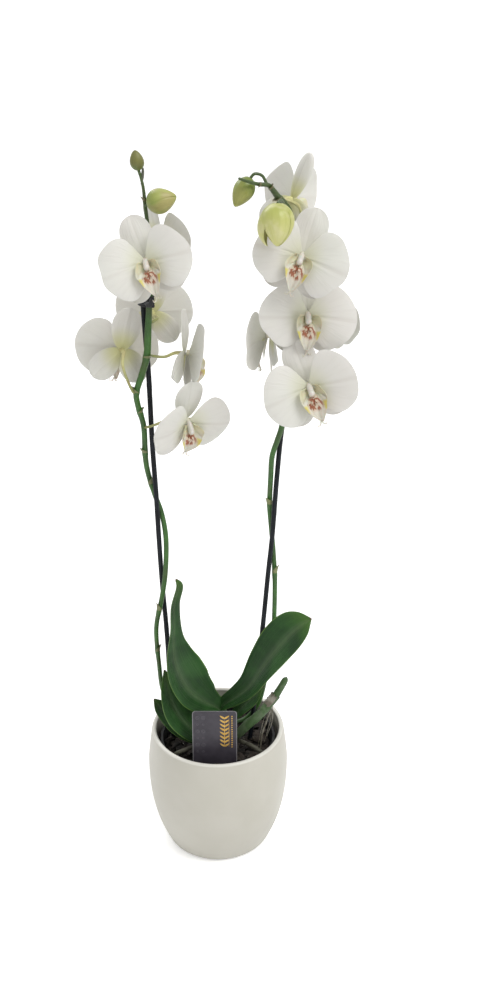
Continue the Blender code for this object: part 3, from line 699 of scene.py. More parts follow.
def leaf_look():
    """Leathery green: a pale furrowed midrib with a painted greyish highlight beside it, faint
    lengthwise veins, yellower rims, a brown tip, a greyer underside and a waxy gloss."""
    look, tree, shader = new_look("orchid_leaf", 0.36, Specular_IOR_Level=0.3, Coat_Weight=0.04,
                                  Coat_Roughness=0.30)
    uv = surface_place(tree)
    split = xyz(uv)
    along = split[0]
    across = off_middle(split[1])
    place = object_place(tree)
    green = mottle(place, 38.0, paint(24, 56, 22), paint(42, 82, 34))
    streaks = stretched(uv, 1.5, 46.0, 1.0)
    vein = fade(noise(streaks, 1.0, 1.0), 0.42, 0.66)
    green = blend(times(vein, 0.18), green, paint(66, 102, 52))
    midrib = invert(fade(across, 0.012, 0.055))
    green = blend(times(midrib, 0.16), green, paint(104, 130, 84))
    # Painted highlight: a greyish pale band either side of the midrib stands in for the light
    # glancing off the fold.
    painted_midrib_sheen = times(fade(across, 0.16, 0.05), 0.16)
    green = blend(painted_midrib_sheen, green, paint(112, 124, 100))
    rim = times(fade(across, 0.468, 0.495), 0.55)
    green = blend(rim, green, paint(112, 146, 64))
    yellowed = times(fade(along, 0.72, 1.0), 0.35)
    green = blend(yellowed, green, paint(96, 132, 46))
    under = fade(split[1], 0.995, 1.005)
    green = blend(times(under, 0.6), green, paint(104, 128, 92))
    green = blend(fade(along, 0.975, 0.992), green, paint(96, 72, 50))
    dress(shader, Base_Color=green, Roughness=uneven(place, 85.0, 0.20, 0.28))
    height = calc("SUBTRACT", vein, times(midrib, 3.0))
    dress(shader, Normal=relief(height, 0.8, 0.00012))
    return look


LEAF = leaf_look()
LEAVES = {
    "leaf_upper_left": dict(
        midrib=((0.0040, -0.0062, 0.1490), (-0.0025, -0.0080, 0.1560), (-0.0119, -0.0120, 0.1639),
                (-0.0261, -0.0180, 0.1809), (-0.0369, -0.0210, 0.2058), (-0.0406, -0.0210, 0.2294),
                (-0.0397, -0.0190, 0.2502), (-0.0392, -0.0160, 0.2740), (-0.0345, -0.0150, 0.2935),
                (-0.0368, -0.0150, 0.3022)),
        half_widths=(0.0060, 0.0100, 0.0165, 0.0225, 0.0218, 0.0150, 0.0080, 0.0060,
                     0.0042, 0.0010),
        near_side=NEAR_LEFT, facing=1.0, twist=-0.3, wave=0.04, skew=0.22),
    "leaf_upper_right": dict(
        midrib=((0.0025, -0.0055, 0.1510), (0.0085, -0.0070, 0.1590), (0.0186, -0.0120, 0.1698),
                (0.0323, -0.0170, 0.1860), (0.0456, -0.0200, 0.2108), (0.0587, -0.0210, 0.2316),
                (0.0718, -0.0200, 0.2475), (0.0820, -0.0190, 0.2567), (0.0899, -0.0180, 0.2621)),
        half_widths=(0.0060, 0.0078, 0.0098, 0.0130, 0.0180, 0.0215, 0.0206, 0.0138, 0.0008),
        near_side=NEAR_RIGHT, facing=-1.0, wave=0.03, skew=0.10),
    "leaf_lower_left": dict(
        midrib=((-0.0110, -0.0130, 0.1200), (-0.0249, -0.0215, 0.1387), (-0.0390, -0.0235, 0.1600),
                (-0.0465, -0.0200, 0.1805), (-0.0506, -0.0140, 0.2025)),
        half_widths=(0.0050, 0.0130, 0.0168, 0.0130, 0.0010),
        near_side=NEAR_LEFT, facing=1.0, wave=0.03),
    "leaf_lowest_left": dict(
        midrib=((-0.0150, -0.0075, 0.1160), (-0.0254, -0.0110, 0.1235), (-0.0420, -0.0110, 0.1375),
                (-0.0560, -0.0090, 0.1545), (-0.0624, -0.0080, 0.1646)),
        half_widths=(0.0040, 0.0092, 0.0112, 0.0088, 0.0010),
        near_side=NEAR_LEFT, facing=1.0, wave=0.03),
    "leaf_lower_right": dict(
        midrib=((0.0100, -0.0050, 0.1380), (0.0160, -0.0060, 0.1420), (0.0245, -0.0100, 0.1570),
                (0.0362, -0.0120, 0.1710), (0.0450, -0.0125, 0.1825)),
        half_widths=(0.0035, 0.0045, 0.0085, 0.0085, 0.0010),
        near_side=NEAR_RIGHT, facing=-1.0, wave=0.02),
}
for name, shape in LEAVES.items():
    piece(name + "_blade", [leaf_skin(**shape)], LEAF, [name], kind="folded")


def sheath_skin(turn, low, high, radius):
    """A leaf base wrapped three quarters round the crown: a curved sheet, lower at its rims."""
    u = np.linspace(0.0, 1.0, 16)[:, None]
    a = np.linspace(-1.0, 1.0, 25)[None]
    angle = turn + a * math.radians(125.0)
    reach = radius * (1.0 - 0.12 * u) + 0.0004 * a
    height = low + (high - low) * u * (1 - 0.35 * a * a)
    front = np.stack((0.003 + reach * np.cos(angle), reach * np.sin(angle), height), axis=2)
    return two_sided(front, 0.0012)


crown_skins = [sheath_skin(math.radians(turn), 0.1084, high, radius)
               for turn, high, radius in ((200, 0.152, 0.0072), (-20, 0.150, 0.0062),
                                          (170, 0.140, 0.0084), (10, 0.136, 0.0096),
                                          (190, 0.126, 0.0108))]
core = np.c_[(0.0003, 0.0050, 0.0056, 0.0050, 0.0030, 0.0003),
             (0.1084, 0.1084, 0.120, 0.140, 0.1495, 0.1500)]
core_skin = turned(core, 20) + np.array((0.003, 0.0, 0.0))


def stem_look(name, green, tinge, amount):
    """Smooth green stem with darker clouds, brown tinges and tiny pale dots."""
    look, tree, shader = new_look(name, 0.42, Coat_Weight=0.08, Coat_Roughness=0.3)
    place = object_place(tree)
    dark = tuple(0.62 * value for value in green[:3]) + (1.0,)
    base = mottle(place, 75.0, dark, green)
    brown = times(fade(noise(place, 48.0), 0.52, 0.70), amount)
    base = blend(brown, base, tinge)
    height = xyz(place)[2]
    base = blend(times(fade(height, 0.60, 0.64), 0.55), base, tinge)
    dots = specks(place, 1300.0, 0.16)
    base = blend(times(dots, 0.35), base, paint(150, 170, 118))
    dress(shader, Base_Color=base, Normal=grain(place, 800.0, 0.0002))
    return look


STEM = stem_look("spike_green", paint(60, 106, 40), paint(78, 76, 50), 0.35)
piece("crown_core", [core_skin], STEM, ["crown"])
piece("crown_sheaths", crown_skins, LEAF, kind="folded")


# ---------------------------------------------------------------- roots
# One thick green root climbs out of the pot, its spongy skin silvered and partly split into a
# papery sleeve. A dry root and thin strands hang from the sleeve, and old roots lie on the bark.

ROOT_GREEN = np.array((
    (0.0110, -0.0080, 0.1180), (0.0180, -0.0160, 0.1260), (0.0289, -0.0215, 0.1426),
    (0.0411, -0.0240, 0.1571), (0.0499, -0.0220, 0.1675), (0.0575, -0.0180, 0.1760),
    (0.0682, -0.0140, 0.1943)))
ROOT_DRY = np.array((
    (0.0525, -0.0130, 0.1600), (0.0515, -0.0115, 0.1510), (0.0484, -0.0110, 0.1390),
    (0.0445, -0.0140, 0.1260), (0.0425, -0.0180, 0.1095)))


def lumpy(path, radii, sides, seed, depth):
    """A tube whose radius swells and sinks by a few seeded waves along and round it."""
    draw = np.random.default_rng(seed)
    t = np.linspace(0.0, 1.0, len(path))[:, None]
    angle = circle(sides)[None]
    ripples = sum(np.sin(t * draw.uniform(15, 60) + k * angle + draw.uniform(0, 6)) / 6
                 for k in (0, 1, 1, 2, 2, 3))
    return tube(path, radii[:, None] * (1.0 + depth * ripples), sides)


def dome(radii, length_share):
    """Rounds off the last share of a list of radii like a finger's end."""
    t = np.linspace(0.0, 1.0, len(radii))
    end = np.clip((t - (1 - length_share)) / length_share, 0.0, 1.0)
    return radii * np.sqrt(np.maximum(1 - end ** 2.2, 0.01))


def root_look(name, green, silver, amount):
    """Velamen: silver-grey skin over green, in patches, with fine cracks and grains."""
    look, tree, shader = new_look(name, 0.62)
    place = object_place(tree)
    silvered = times(fade(noise(place, 95.0, 5.0), 0.40, 0.60), amount)
    base = blend(silvered, green, silver)
    flecks = specks(place, 700.0, 0.22)
    base = blend(times(flecks, 0.4), base, paint(92, 92, 78))
    dress(shader, Base_Color=base, Normal=grain(place, 600.0, 0.0005))
    return look


ROOT_STEPS = 80
OLD_ROOT_RADIUS = 0.0021
steps = np.linspace(0.0, 1.0, ROOT_STEPS)
root_radii = dome(level((0.0030, 0.0044, 0.0046, 0.0040, 0.0031), steps), 0.05)
ROOT = root_look("living_root", paint(62, 90, 48), paint(104, 120, 92), 0.5)
HUSK = root_look("dry_root_skin", paint(104, 98, 84), paint(150, 146, 134), 0.9)
piece("root_climbing", [lumpy(curve(ROOT_GREEN, steps), root_radii, 20, 3, 0.12)], ROOT,
      ["root_green"])


def husk_skin(start, stop, radius, seed):
    """A torn papery sleeve round the root: an open curl with ragged ends."""
    draw = np.random.default_rng(seed)
    t = np.linspace(start, stop, 22)
    path = curve(ROOT_GREEN, t)
    ring = tube(path, np.full(22, radius), 26)
    ends = np.array([1.0] + [0.0] * 20 + [1.0])[:, None]
    ragged = (draw.uniform(-1, 1, (1, 26)) * ends)[..., None]
    ahead = unit(path[-1] - path[0])
    around = 0.16 * np.sin(np.arange(26) * 1.9)[None, :, None]
    crumple = 1.0 + around * np.sin(t * 70)[:, None, None]
    front = (path[:, None] + (ring - path[:, None]) * crumple + ragged * ahead * 0.0016)[:, :21]
    return two_sided(front, 0.0003)


piece("root_husk", [husk_skin(0.66, 0.83, 0.0047, 4)], HUSK,
      kind="folded")


def strand(points, thick, thin, seed):
    t = np.linspace(0.0, 1.0, 50)
    return lumpy(curve(points, t), level((thick, thick, thin), t), 8, seed, 0.5)


strands = [strand(ROOT_DRY, 0.0010, 0.0007, 1)]
for number, (dx, dy, low) in enumerate(((0.004, 0.002, 0.118), (-0.003, -0.002, 0.112),
                                        (0.006, -0.003, 0.128))):
    top = ROOT_DRY[0] + np.array((dx * 0.3, dy * 0.3, 0.001 * number))
    middle = ROOT_DRY[2] + np.array((dx, dy, 0.002 * number))
    foot = np.array((0.0430 + dx, -0.0160 + dy, low))
    strands.append(strand((top, middle, foot), 0.0004, 0.0002, 20 + number))
piece("root_strands", strands, HUSK, ["root_dry"])

OLD_ROOTS = (
    ((0.0140, -0.0100, 0.1190), (0.0300, -0.0260, 0.1240),
     (0.0430, -0.0330, 0.1200), (0.0480, -0.0300, 0.1090)),
    ((-0.0060, -0.0140, 0.1180), (-0.0250, -0.0300, 0.1230),
     (-0.0400, -0.0330, 0.1180), (-0.0440, -0.0280, 0.1080)),
    ((0.0080, 0.0120, 0.1180), (0.0200, 0.0300, 0.1240),
     (0.0120, 0.0440, 0.1190), (-0.0050, 0.0460, 0.1080)))
OLD_SKIN = root_look("old_root", paint(58, 56, 44), paint(92, 90, 76), 0.6)
piece("roots_on_bark", [lumpy(curve(points, steps), np.full(ROOT_STEPS, OLD_ROOT_RADIUS), 14,
                              30 + number, 0.18) for number, points in enumerate(OLD_ROOTS)],
      OLD_SKIN)


# ---------------------------------------------------------------- flower spikes
# Two spikes leave the crown sideways, bend up along the stakes and arch over at their tips.
# They are round stems, thickest at mid height, with a swollen joint and a clasping bract here
# and there, where a bud once slept or a flower's stalk leaves.

SPIKE_LEFT = np.array((
    (-0.0060, 0.005, 0.1210), (-0.0280, 0.011, 0.1240), (-0.0470, 0.010, 0.1400),
    (-0.0550, 0.005, 0.1680), (-0.0572, 0.003, 0.1990), (-0.0583, -0.001, 0.2290),
    (-0.0570, -0.004, 0.2500), (-0.0511, -0.0058, 0.2780), (-0.0470, -0.0048, 0.3050),
    (-0.0459, 0.000, 0.3360), (-0.0492, 0.0045, 0.3590), (-0.0551, 0.0058, 0.3785),
    (-0.0605, 0.0050, 0.4005), (-0.0622, 0.0035, 0.4180), (-0.0622, 0.0010, 0.4460),
    (-0.0662, -0.0025, 0.4672), (-0.0667, -0.0045, 0.4797), (-0.0611, -0.0062, 0.4963),
    (-0.0562, -0.0062, 0.5131), (-0.0545, -0.0060, 0.5340), (-0.0531, -0.0057, 0.5510),
    (-0.0512, -0.0052, 0.5806), (-0.0516, -0.0045, 0.6150), (-0.0530, -0.0060, 0.6373),
    (-0.0539, -0.0080, 0.6510), (-0.0560, -0.0100, 0.6615)))
SPIKE_RIGHT = np.array((
    (0.0125, 0.006, 0.1240), (0.0300, 0.012, 0.1290), (0.0430, 0.012, 0.1510),
    (0.0503, 0.009, 0.1938), (0.0548, 0.006, 0.2238), (0.0556, 0.004, 0.2500),
    (0.0557, 0.003, 0.2907), (0.0541, 0.0056, 0.3191), (0.0515, 0.0060, 0.3479),
    (0.0499, 0.004, 0.3701), (0.0505, 0.000, 0.3990), (0.0514, -0.0030, 0.4193),
    (0.0555, -0.0052, 0.4349), (0.0597, -0.0058, 0.4500), (0.0651, -0.0062, 0.4866),
    (0.0703, -0.0062, 0.5261), (0.0714, -0.0062, 0.5559), (0.0696, -0.0070, 0.5972),
    (0.0640, -0.0100, 0.6269), (0.0581, -0.0130, 0.6382), (0.0531, -0.0160, 0.6439),
    (0.0482, -0.0190, 0.6503), (0.0450, -0.0220, 0.6535), (0.0371, -0.0270, 0.6548),
    (0.0286, -0.0325, 0.6575), (0.0217, -0.0360, 0.6601)))
SPIKE_RADII = (0.0021, 0.0022, 0.0023, 0.0024, 0.0025, 0.0026, 0.0030, 0.0018, 0.0010)
JOINTS_LEFT = (0.18, 0.26, 0.46, 0.525, 0.585, 0.64, 0.715, 0.85, 0.925)
JOINTS_RIGHT = (0.14, 0.25, 0.36, 0.55, 0.60, 0.655, 0.70, 0.79, 0.85, 0.91)


def spike_radius(t, joints):
    """Stem radius with a swelling 15% proud at every joint."""
    swell = sum(np.exp(-((t - joint) / 0.006) ** 2) for joint in joints)
    return level(SPIKE_RADII, t) * (1.0 + 0.15 * swell)


def spike_skin(route, joints):
    t = np.linspace(0.0, 1.0, 320)
    return tube(curve(route, t), dome(spike_radius(t, joints), 0.008), 16)


def bract_skin(route, t, turn, length):
    """A clasping bract: a pointed sheet wrapped round the stem above a joint, leaning off it."""
    u = np.linspace(0.0, 1.0, 14)
    a = np.linspace(-1.0, 1.0, 13)
    foot, above = curve(route, np.array((t, min(t + 0.01, 1.0))))
    ahead = unit(above - foot)
    side = unit(np.cross(ahead, (math.sin(turn), -math.cos(turn), 0.0)))
    out = np.cross(side, ahead)
    radius = 0.0026 * (1.0 + 0.5 * u)[:, None] * level(SPIKE_RADII, np.array((t,)))[0] / 0.0024
    wrap = (math.radians(115) * (1 - u ** 1.5) + 0.12)[:, None] * a
    lean = (0.0016 * u ** 2)[:, None]
    rim = radius[..., None] * (np.cos(wrap)[..., None] * out + np.sin(wrap)[..., None] * side)
    return two_sided(foot + ahead * (u * length)[:, None, None] + rim + lean[..., None] * out,
                     -0.0004)


piece("spike_stem_left", [spike_skin(SPIKE_LEFT, JOINTS_LEFT)], STEM, ["spike_left"])
piece("spike_stem_right", [spike_skin(SPIKE_RIGHT, JOINTS_RIGHT)], STEM, ["spike_right"])
BRACT = stem_look("bract_brown_green", paint(126, 132, 84), paint(110, 92, 66), 0.8)
BRACTS = (
    ("left", SPIKE_LEFT, JOINTS_LEFT, (1.2, -1.0, 0.9, -0.9, 1.4, -1.2, 1.0, 0.6, -0.8),
     (0.010, 0.010, 0.008, 0.0055, 0.005, 0.005, 0.004, 0.004, 0.0045)),
    ("right", SPIKE_RIGHT, JOINTS_RIGHT, (-1.2, 1.0, -0.6, 0.9, -1.1, 1.2, 0.8, -0.9, 0.7, -0.7),
     (0.010, 0.010, 0.009, 0.005, 0.005, 0.0045, 0.004, 0.004, 0.004, 0.0035)))
for side, route, joints, turns, lengths in BRACTS:
    skins = [bract_skin(route, *numbers) for numbers in zip(joints, turns, lengths)]
    piece("bracts_" + side, skins, BRACT, kind="folded")
spur = np.linspace(0.0, 1.0, 24)
spur_line = curve(((-0.0551, -0.0090, 0.6525), (-0.0538, -0.0094, 0.6590),
                   (-0.0531, -0.0095, 0.6655)), spur)
GREY_BRACT = stem_look("bract_grey_green", paint(92, 100, 84), paint(84, 80, 70), 0.6)
fork_radii = dome(level((0.0006, 0.0012, 0.0009), spur), 0.2)
piece("fork_bract_left", [tube(spur_line, fork_radii, 12, 0.7)], GREY_BRACT)


# ---------------------------------------------------------------- clips
# A moulded claw clip ties each spike to its stake: two combs of curved teeth meet round the
# stems, joined by a ribbed hinge, and a hooked finger tab stands off one side.

CLIP_HALF_LONG = 0.0078
CLIP_HALF_SHORT = 0.0036
CLIP_HEIGHT = 0.0090
CLIP_WALL = 0.0011
TOOTH_COUNT = 5


def clip_skins(place, turn, tab):
    """Teeth are tapered fingers bent along half an oval, front and back, one above the other;
    a web joins them at the hinge, and the tab is a flattened, hooked finger."""
    cos, sin = math.cos(turn), math.sin(turn)
    spin = np.array(((cos, -sin, 0.0), (sin, cos, 0.0), (0.0, 0.0, 1.0)))
    half_long, half_short = CLIP_HALF_LONG + CLIP_WALL / 2, CLIP_HALF_SHORT + CLIP_WALL / 2
    t = np.linspace(0.0, 1.0, 26)
    skins = []
    for jaw, shift in ((-1, 0.0), (1, 0.0009)):
        for height in np.linspace(-0.5, 0.5, TOOTH_COUNT) * (CLIP_HEIGHT - 0.0014):
            angle = jaw * t * math.radians(188.0)
            arc = np.stack((tab * half_long * np.cos(angle), half_short * np.sin(angle),
                            np.full_like(t, height) + shift * t), axis=1)
            skins.append(tube(arc, level((0.0008, 0.0010, 0.0010, 0.0009, 0.0004), t), 10, 0.75))
        angle = jaw * t * math.radians(112.0)
        web = np.stack((tab * half_long * np.cos(angle), half_short * np.sin(angle), 0 * t), axis=1)
        ring = circle(16)
        outward = unit(web)
        skins.append(web[:, None] + outward[:, None] * (0.0006 * np.cos(ring))[:, None]
                     + np.array((0, 0, 1.0)) * (CLIP_HEIGHT * 0.48 * np.sin(ring))[:, None])
    pin = np.linspace(-0.5, 0.5, 30)
    hinge = np.stack((np.full(30, tab * (half_long + 0.0004)), np.zeros(30), pin * CLIP_HEIGHT),
                     axis=1)
    skins.append(tube(hinge, 0.0013 * (1 + 0.10 * np.sign(np.sin(pin * 40))), 14))
    finger = np.array(((half_long * 0.55 * tab, -half_short - 0.0002, 0.0),
                       (tab * (half_long * 0.55 + 0.0045), -half_short - 0.0016, -0.0014),
                       (tab * (half_long * 0.55 + 0.0085), -half_short - 0.0022, 0.0002),
                       (tab * (half_long * 0.55 + 0.0100), -half_short - 0.0022, 0.0045)))
    skins.append(tube(curve(finger, t), dome(level((0.0020, 0.0022, 0.0022, 0.0015), t), 0.12), 14,
                      0.7))
    return [skin @ spin.T + np.array(place) for skin in skins]


CLIP = black_plastic_look()
CLIP.name = "clip_blue_black"
piece("claw_clip_left", clip_skins((-0.0556, -0.0029, 0.5590), math.radians(-44.0), 1.0), CLIP,
      ["clip_left"])
piece("claw_clip_right", clip_skins((0.0738, -0.0031, 0.5630), math.radians(233.0), -1.0), CLIP,
      ["clip_right"])


# ---------------------------------------------------------------- buds
# Four buds in four states: a tight one at the tip, a plump one, a small hanging one and one that
# has begun to open. Each is an egg of petals wrapped in three thick sepals, rim over rim.

BUD_SIDES = 31
BUD_SEPAL_THICKNESS = 0.0006
BUD_STALK_RADIUS = 0.0012
BUD_STALK_STEPS = 60


def egg_radius(s, blunt):
    """Radius of the bud at s of its length: an egg, widest below the middle."""
    return np.sin(math.pi * s ** 0.82) ** blunt * (1.0 - 0.28 * s ** 2)


def aimed(points, foot, tip, facing):
    """Sets points, made along +Z with +X to the front, on the line from foot to tip."""
    ahead = unit(tip - foot)
    front = unit(facing - ahead * (facing @ ahead))
    return foot + points @ np.stack((front, np.cross(ahead, front), ahead))


def bud_sepals(foot, tip, radius, blunt, facing, turns, spreads):
    """Each sepal is a sheet on the egg: angle = turn + across x span, pushed out towards one rim
    so that it laps over its neighbour; spread swings its tip away from the egg."""
    foot, tip, facing = (np.array(item, float) for item in (foot, tip, facing))
    length = np.linalg.norm(tip - foot)
    s = np.linspace(0.02, 0.995, 30)[:, None]
    a = np.linspace(-1.0, 1.0, BUD_SIDES)[None]
    skins = []
    for turn, spread in zip(turns, spreads):
        angle = math.radians(turn) + a * math.radians(80.0) * (1.0 - 0.25 * s)
        keel = 0.05 * np.exp(-(a / 0.16) ** 2) * s
        reach = radius * egg_radius(s, blunt) * (1.03 + 0.045 * a + keel) + 0.0003
        x, y, z = reach * np.cos(angle), reach * np.sin(angle), s * length + 0 * angle
        swing = spread * smooth(s, 0.15, 1.0) + 0 * angle
        x, y = x + math.cos(math.radians(turn)) * swing, y + math.sin(math.radians(turn)) * swing
        front = aimed(np.stack((x, y, z), axis=2), foot, tip, facing)
        skins.append(two_sided(front, BUD_SEPAL_THICKNESS))
    return skins


def bud_core(foot, tip, radius, blunt, facing):
    foot, tip, facing = (np.array(item, float) for item in (foot, tip, facing))
    s = np.linspace(0.015, 0.985, 30)
    core = turned(np.c_[radius * 0.95 * egg_radius(s, blunt) + 0.0002,
                        s * np.linalg.norm(tip - foot)], 24)
    return aimed(core, foot, tip, facing)


def bud_look(name, low, high, blush, amount):
    """Waxy bud skin: greener at the foot and along the rims, veined, with a blush in patches."""
    look, tree, shader = new_look(name, 0.42, Coat_Weight=0.12, Coat_Roughness=0.3)
    uv = surface_place(tree)
    split = xyz(uv)
    across = off_middle(split[1])
    base = blend(fade(split[0], 0.0, 0.75), low, high)
    base = blend(times(fade(across, 0.40, 0.50), 0.6), base, low)
    streaks = stretched(uv, 1.2, 26.0, 1.0)
    vein = fade(noise(streaks, 1.0, 1.0), 0.45, 0.65)
    base = blend(times(vein, 0.22), base, low)
    patch = fade(noise(object_place(tree), 85.0), 0.44, 0.60)
    dress(shader, Base_Color=blend(times(patch, amount), base, blush),
          Normal=relief(vein, 0.7, 0.0001))
    return look


def stalk_path(points, count):
    return curve(np.array(points, float), np.linspace(0.0, 1.0, count))


BUDS = {
    "bud_left_tip": dict(
        shape=((-0.0566, -0.0104, 0.6640), (-0.0588, -0.0128, 0.6785), 0.0048, 0.62, (0, -1, 0)),
        turns=(20, 140, 260), spreads=(0.0002, 0.0, 0.0),
        stalk=((-0.0557, -0.0098, 0.6600), (-0.0566, -0.0105, 0.6635)),
        look=bud_look("bud_olive", paint(92, 106, 42),
                      paint(124, 130, 62), paint(108, 84, 54), 0.30)),
    "bud_left_side": dict(
        shape=((-0.0508, -0.0085, 0.6375), (-0.0275, -0.0120, 0.6440), 0.0092, 0.66, (0, -1, 0.2)),
        turns=(55, 175, 295), spreads=(0.0004, 0.0, 0.0),
        stalk=((-0.0530, -0.0062, 0.6360), (-0.0516, -0.0080, 0.6368), (-0.0495, -0.0088, 0.6380)),
        look=bud_look("bud_yellow_green", paint(134, 148, 66),
                      paint(170, 174, 98), paint(166, 130, 98), 0.35)),
    "bud_right_small": dict(
        shape=((0.0312, -0.0190, 0.6585), (0.0190, -0.0230, 0.6375), 0.0074, 0.68, (0, -1, 0)),
        turns=(-15, 105, 225), spreads=(0.0003, 0.0, 0.0),
        stalk=((0.0440, -0.0225, 0.6545), (0.0405, -0.0170, 0.6600), (0.0345, -0.0180, 0.6615),
               (0.0308, -0.0191, 0.6578)),
        look=bud_look("bud_fresh_green", paint(112, 132, 52),
                      paint(164, 168, 88), paint(126, 104, 66), 0.20)),
    "bud_right_open": dict(
        shape=((0.0512, -0.0590, 0.6445), (0.0512, -0.0635, 0.6135), 0.0122, 0.62, (0, -1, 0.1)),
        turns=(-8, 104, 240), spreads=(0.0003, 0.0066, 0.0006),
        stalk=((0.0592, -0.0138, 0.6370), (0.0575, -0.0300, 0.6400), (0.0545, -0.0450, 0.6450),
               (0.0514, -0.0585, 0.6440)),
        look=bud_look("bud_opening", paint(166, 172, 84),
                      paint(206, 204, 134), paint(216, 210, 168), 0.35)),
}
for name, bud in BUDS.items():
    foot, tip, radius, blunt, facing = bud["shape"]
    piece(name + "_sepals", bud_sepals(foot, tip, radius, blunt, facing, bud["turns"],
                                       bud["spreads"]), bud["look"], [name], kind="folded")
    piece(name + "_core", [bud_core(foot, tip, radius, blunt, facing)], bud["look"])
    piece(name + "_stalk", [tube(stalk_path(bud["stalk"], BUD_STALK_STEPS),
                                 np.full(BUD_STALK_STEPS, BUD_STALK_RADIUS), 12)], STEM)


# ---------------------------------------------------------------- flowers
# Twelve moth-orchid flowers. Each has three sepals behind, two broad petals, and in the middle
# a white column over a three-lobed lip with a speckled throat; a ribbed stalk hangs it on the
# spike. In a flower's own frame +X is across, +Y towards the top sepal and +Z out of its face.

PETAL_RIM_TURN = np.radians((64, 62, 54, 40, 22, 4, -12, -28, -43, -56, -66, -71))
PETAL_RIM_REACH = (0.0120, 0.0225, 0.0295, 0.0335, 0.0365, 0.0382, 0.0382, 0.0368, 0.0345, 0.0305,
                   0.0220, 0.0120)
PETAL_TILT = math.radians(18.0)
PETAL_LIFT = 0.0018
PETAL_THICKNESS = 0.0007
SEPAL_THICKNESS = 0.0008
LIP_THICKNESS = 0.0006
STALK_STEPS = 70
STALK_SIDES = 24
SEPALS = ((90.0, 0.0375, 0.0138, -0.0008), (-50.0, 0.0335, 0.0130, 0.0012),
          (-130.0, 0.0335, 0.0130, 0.0012))
CURLED_SEPALS = ((101.0, 0.0390, 0.0074, 0.0034), *SEPALS[1:])


def petal_front(side, draw, fold=0.0):
    """The petal fans out from a short claw: point = claw (1 - u) + rim(v) u. Its height is a low
    dome, rolled back at the rim, with a soft crease along the middle and a few slow waves."""
    u = np.linspace(0.0, 1.0, 34)[:, None, None]
    v = np.linspace(0.0, 1.0, 49)
    reach = np.array(PETAL_RIM_REACH) * (1.0 + draw.normal(0.0, 0.018, len(PETAL_RIM_REACH)))
    rim = curve(np.c_[reach * np.cos(PETAL_RIM_TURN), reach * np.sin(PETAL_RIM_TURN)], v)
    claw = np.c_[np.full(49, 0.0006), 0.0024 - 0.0056 * v]
    flat = claw * (1 - u) + rim * u
    x, y = flat[..., 0], flat[..., 1]
    rho = np.hypot(x, y) / 0.038
    bearing = np.arctan2(y, x)
    middle = draw.uniform(-0.12, 0.02)
    bulge = 4.0 * rho * np.clip(1.0 - rho, 0.0, 1.0)
    wave = np.sin(5.0 * bearing + draw.uniform(0, 6)) * 0.0009 + np.sin(
        9.0 * bearing + draw.uniform(0, 6)) * 0.0004
    height = (draw.uniform(0.0012, 0.0022) * bulge - draw.uniform(0.0012, 0.0026) * rho ** 4
              - 0.0006 * np.exp(-((bearing - middle) / 0.07) ** 2) * np.sqrt(bulge)
              + wave * rho ** 3)
    lift = PETAL_LIFT + (0.0006 if side > 0 else -0.0002)
    forward = PETAL_TILT + draw.normal(0.0, 0.03) + math.radians(fold)
    return np.stack((side * (x * math.cos(forward) - height * math.sin(forward)), y,
                     lift + x * math.sin(forward) + height * math.cos(forward)), axis=2)


def sepal_front(turn, length, half, cup, draw):
    """An egg-shaped sheet: along = length (1 - cos t) / 2, half width = half sin t, fuller to the
    tip; it is cupped across, bowed along its length and a little keeled."""
    t = np.linspace(0.10, math.pi - 0.05, 32)[:, None]
    a = np.linspace(-1.0, 1.0, 27)[None]
    s = (1 - np.cos(t)) / 2
    width = np.maximum(half * np.sin(t) * (0.92 - 0.20 * np.cos(t)), 0.0026 * (1 - s))
    y = length * s + 0 * a
    x = width * a
    bow = draw.uniform(-0.0030, 0.0005)
    z = (-0.0010 - 0.0010 * s + bow * s * s + cup * a * a
         - 0.0005 * np.exp(-(a / 0.12) ** 2) * np.sin(t)
         + 0.0006 * np.sin(7 * s + 3 * a + draw.uniform(0, 6)) * s)
    angle = math.radians(turn - 90.0 + draw.normal(0.0, 2.0))
    return np.stack((x * math.cos(angle) - y * math.sin(angle),
                     x * math.sin(angle) + y * math.cos(angle), z), axis=2)


LIP_LINE = np.array(((0, -3.0, 4.5), (0, -7.0, 8.4), (0, -12.0, 11.0), (0, -17.0, 11.6),
                     (0, -22.0, 10.6), (0, -28.0, 8.2))) / 1000
LIP_HALF = (0.0018, 0.0040, 0.0072, 0.0092, 0.0080, 0.0070, 0.0056, 0.0034, 0.0008)
LOBE_BASE = np.array(((1.8, -2.0, 4.0), (2.6, -4.5, 6.5), (3.2, -7.5, 8.8), (3.7, -10.5, 10.4),
                      (4.2, -13.0, 11.0))) / 1000
LOBE_RIM = np.array(((3.0, 1.0, 8.0), (7.2, -0.4, 11.5), (10.0, -5.5, 14.2), (9.4, -11.0, 14.4),
                     (6.2, -15.0, 12.6))) / 1000


